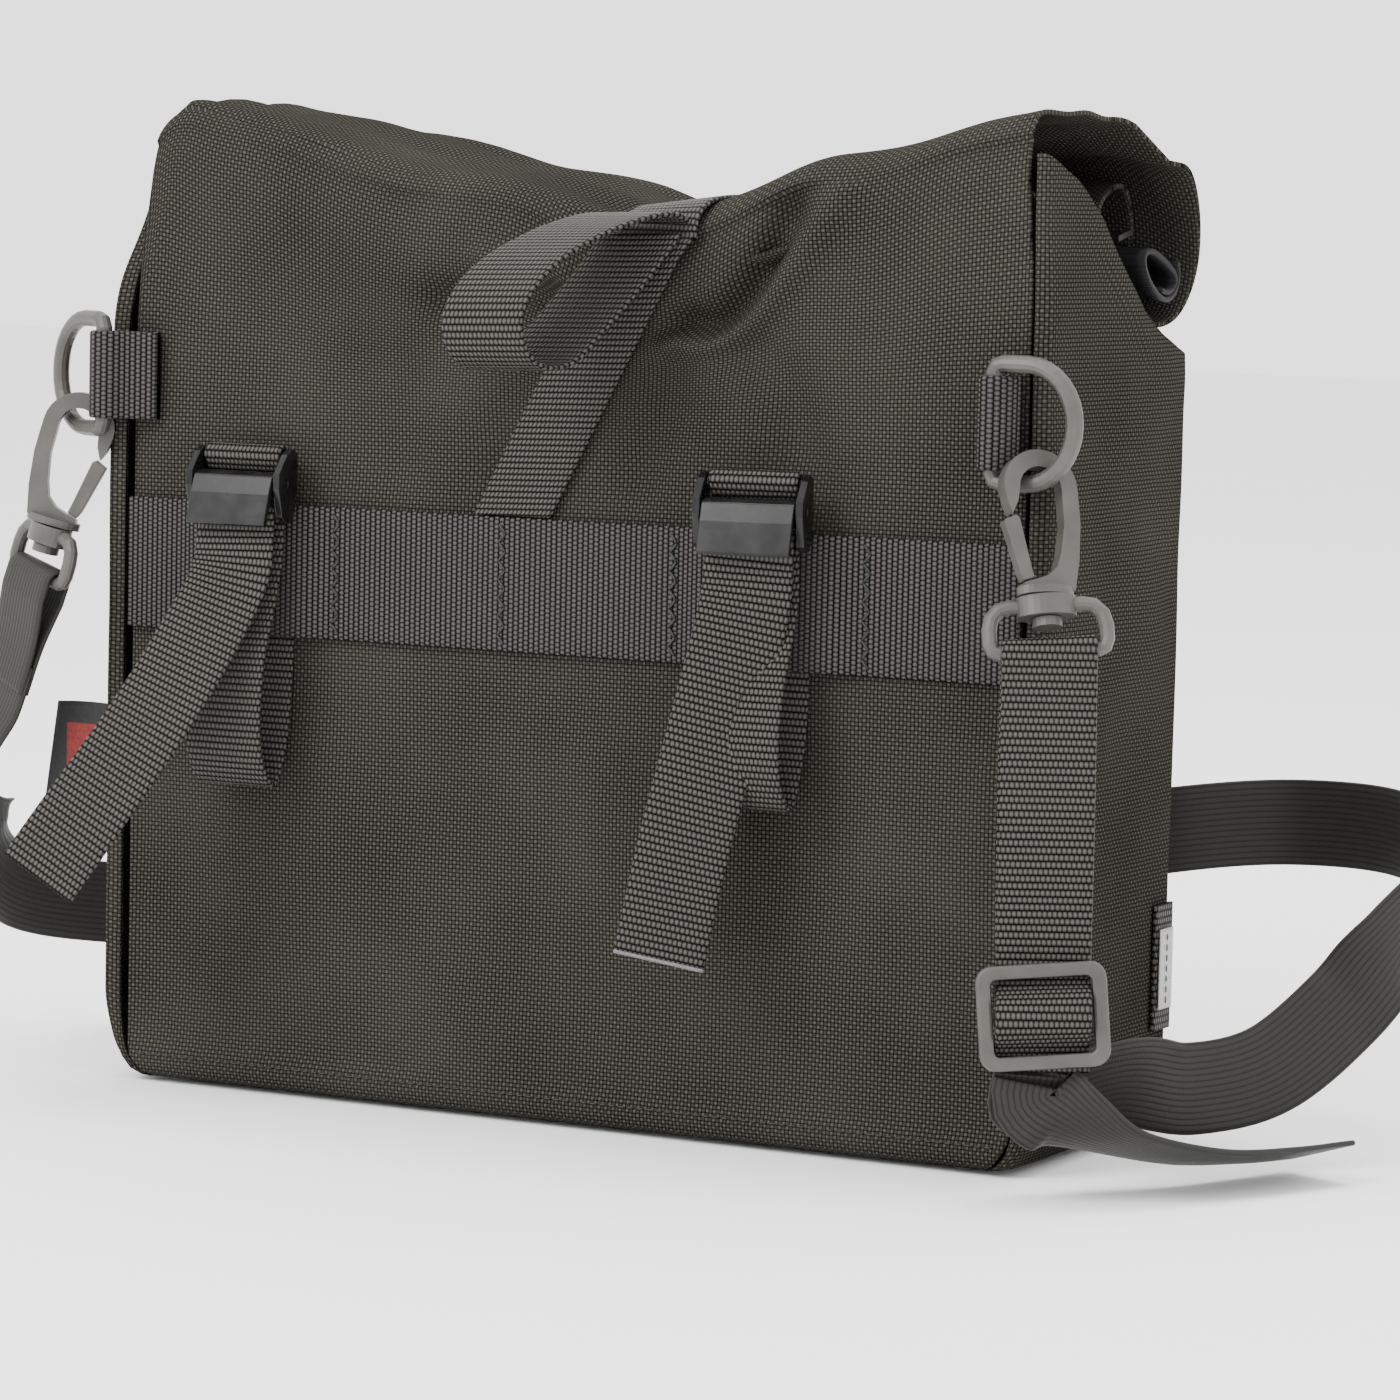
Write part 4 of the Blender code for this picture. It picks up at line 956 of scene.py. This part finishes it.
def stitches(name, runs, body, mat=THREAD, radius=0.34, length=2.4, pitch=3.3):
    """Thread lying on cloth: each run is (start, end, outward normal)."""
    sides, rings = 6, 7
    verts, faces = [], []
    for a, b, n in runs:
        a, b, n = Vector(a), Vector(b), Vector(n).normalized()
        along = (b - a).normalized()
        side = along.cross(n)
        count = max(1, int((b - a).length / pitch))
        for k in range(count):
            centre = a.lerp(b, (k + 0.5) / count)
            start = len(verts)
            for i in range(rings):
                s = -1 + 2 * i / (rings - 1)
                r = radius * math.sqrt(max(0.04, 1 - s * s * 0.96))
                for j in range(sides):
                    ang = math.tau * j / sides
                    verts.append(centre + along * (s * length / 2) + side * (r * math.cos(ang))
                                 + n * (r * math.sin(ang) * 0.8))
            for i in range(rings - 1):
                for j in range(sides):
                    p, q, after = start + i * sides, start + (i + 1) * sides, (j + 1) % sides
                    faces.append((p + j, p + after, q + after, q + j))
            last = start + (rings - 1) * sides
            faces += [tuple(start + j for j in range(sides))[::-1],
                      tuple(last + j for j in range(sides))]
    obj = make(name, verts, faces, mat)
    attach(obj, body)


def sewing():
    """Zigzag bar tacks on the band, and straight seams."""
    runs = []
    surface = LIE - WEB / 2 - 0.3
    rows, height, half = 13, BAND_W - 4.0, 1.1
    for x in BAND_TACKS:
        for k in range(rows):
            z0 = BAND_FOOT_Z + 2.0 + k * height / rows
            z1 = z0 + height / rows
            a, b = (x - half, x + half) if k % 2 else (x + half, x - half)
            runs.append(((a, surface, z0), (b, surface, z1), (0, -1, 0)))
    stitches("band_tacks", runs, "bag", length=3.4, pitch=5.0, radius=0.5)
    runs = [((-SEAM_X + 4, -50.25, 7.6), (SEAM_X - 4, -50.25, 7.6), (0, -1, 0))]
    stitches("base_seam_stitching", runs, "bag", length=2.2, pitch=3.0, radius=0.26)
    runs = [((9.5, surface, 243.0), (33.5, surface, 243.8), (0, -1, 0))]
    stitches("centre_tape_stitching", runs, "bag", length=2.0, pitch=2.6, radius=0.3)


def light_loop():
    """Loop for a lamp, with a reflective strip sewn to it."""
    tape_loop = [Vector((149.05, 40.0, z)) for z in np.linspace(30.0, 66.0, 40)]
    loop = webbing("light_loop_tape", tape_loop, Vector((0, 1, 0)), 12.0, TAPE)
    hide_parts("light_loop")
    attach(loop, "bag")
    m = Nodes("reflective_tape")
    uv, u, v = m.weave_uv()
    cells = m.add("ShaderNodeTexVoronoi")
    m.feed(cells.inputs["Vector"], uv)
    cells.inputs["Scale"].default_value = 2.2
    colour = m.ramp(cells.outputs["Distance"], (0.42, 0.42, 0.41), (0.26, 0.26, 0.25), 0.1, 0.8)
    mat = m.finish(colour, 0.32, m.bump(cells.outputs["Distance"], 0.00008))
    line = [Vector((150.35, 40.0, z)) for z in np.linspace(36, 59, 24)]
    strip = webbing("reflective_tape_strip", line, Vector((0, 1, 0)), 9.0, mat, thick=0.5)
    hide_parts("reflective_strip")
    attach(strip, "bag")
    stitches("reflective_stitching", [((150.7, 40, 37), (150.7, 40, 58), (1, 0, 0))], "bag",
             mat=PALE, length=2.0, pitch=3.0)


def label():
    """Plain woven tag: a red field inside a black border."""
    m = Nodes("woven_label")
    at = m.object_point()
    part = m.add("ShaderNodeSeparateXYZ")
    m.feed(part.inputs[0], at)
    weave = m.noise(at, 900.0, 2.0)

    def near(socket, middle, reach):
        away = m.math("ABSOLUTE", m.math("SUBTRACT", socket, middle))
        return m.math("LESS_THAN", away, reach)

    inside = m.math("MULTIPLY", near(part.outputs[0], -0.161, 0.0075),
                    near(part.outputs[2], 0.0925, 0.011))
    field = m.ramp(weave, (0.10, 0.006, 0.005), (0.19, 0.012, 0.010), 0.3, 0.7)
    ground = m.ramp(weave, (0.002, 0.002, 0.002), (0.008, 0.008, 0.008), 0.3, 0.7)
    mix = m.add("ShaderNodeMix", data_type="RGBA")
    m.feed(mix.inputs[0], inside)
    m.feed(mix.inputs[6], ground)
    m.feed(mix.inputs[7], field)
    mat = m.finish(mix.outputs[2], 0.75, m.bump(weave, 0.00008))
    rows, cols, sewn_x = 22, 16, -148.6
    grid = np.zeros((rows, cols, 3))
    for i in range(rows):
        for k in range(cols):
            s, t = i / (rows - 1), k / (cols - 1)
            free_x = -177.0 + 5.0 * s
            grid[i, k] = (sewn_x + (free_x - sewn_x) * t, -44.7 - 1.1 * math.sin(math.pi * t) * s,
                          75.5 + 34.0 * s + 0.6 * math.sin(3 * t))
    tag = shell("woven_tag", grid, grid[:, :, [0, 2]], 0.6, mat)
    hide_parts("label_tag")
    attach(tag, "bag")


def hardware():
    """CAD metal and plastic keep their shape and take their real finish."""
    for name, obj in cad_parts.items():
        if any(k in name for k in ("buckle", "cam_lever")):
            mat = STEEL
        elif any(k in name for k in ("d_ring", "hook", "gate", "swivel", "slider")):
            mat = PLASTIC
        elif name in ("base_board", "roll_stiffener"):
            mat = BOARD
        else:
            continue
        obj.data.materials.clear()
        obj.data.materials.append(mat)
        obj.data.polygons.foreach_set("use_smooth", [True] * len(obj.data.polygons))
        split = obj.modifiers.new("edges", "EDGE_SPLIT")
        split.split_angle = math.radians(38)


camera()
studio()
shoulder_strap()
front_and_roll()
side_and_back()
base_cloth()
upper_back()
hem()
mount_band()
cam_straps()
centre_strap()
pull_loop()
ring_tabs()
closure_strap()
cinch_strap()
sewing()
light_loop()
label()
hardware()
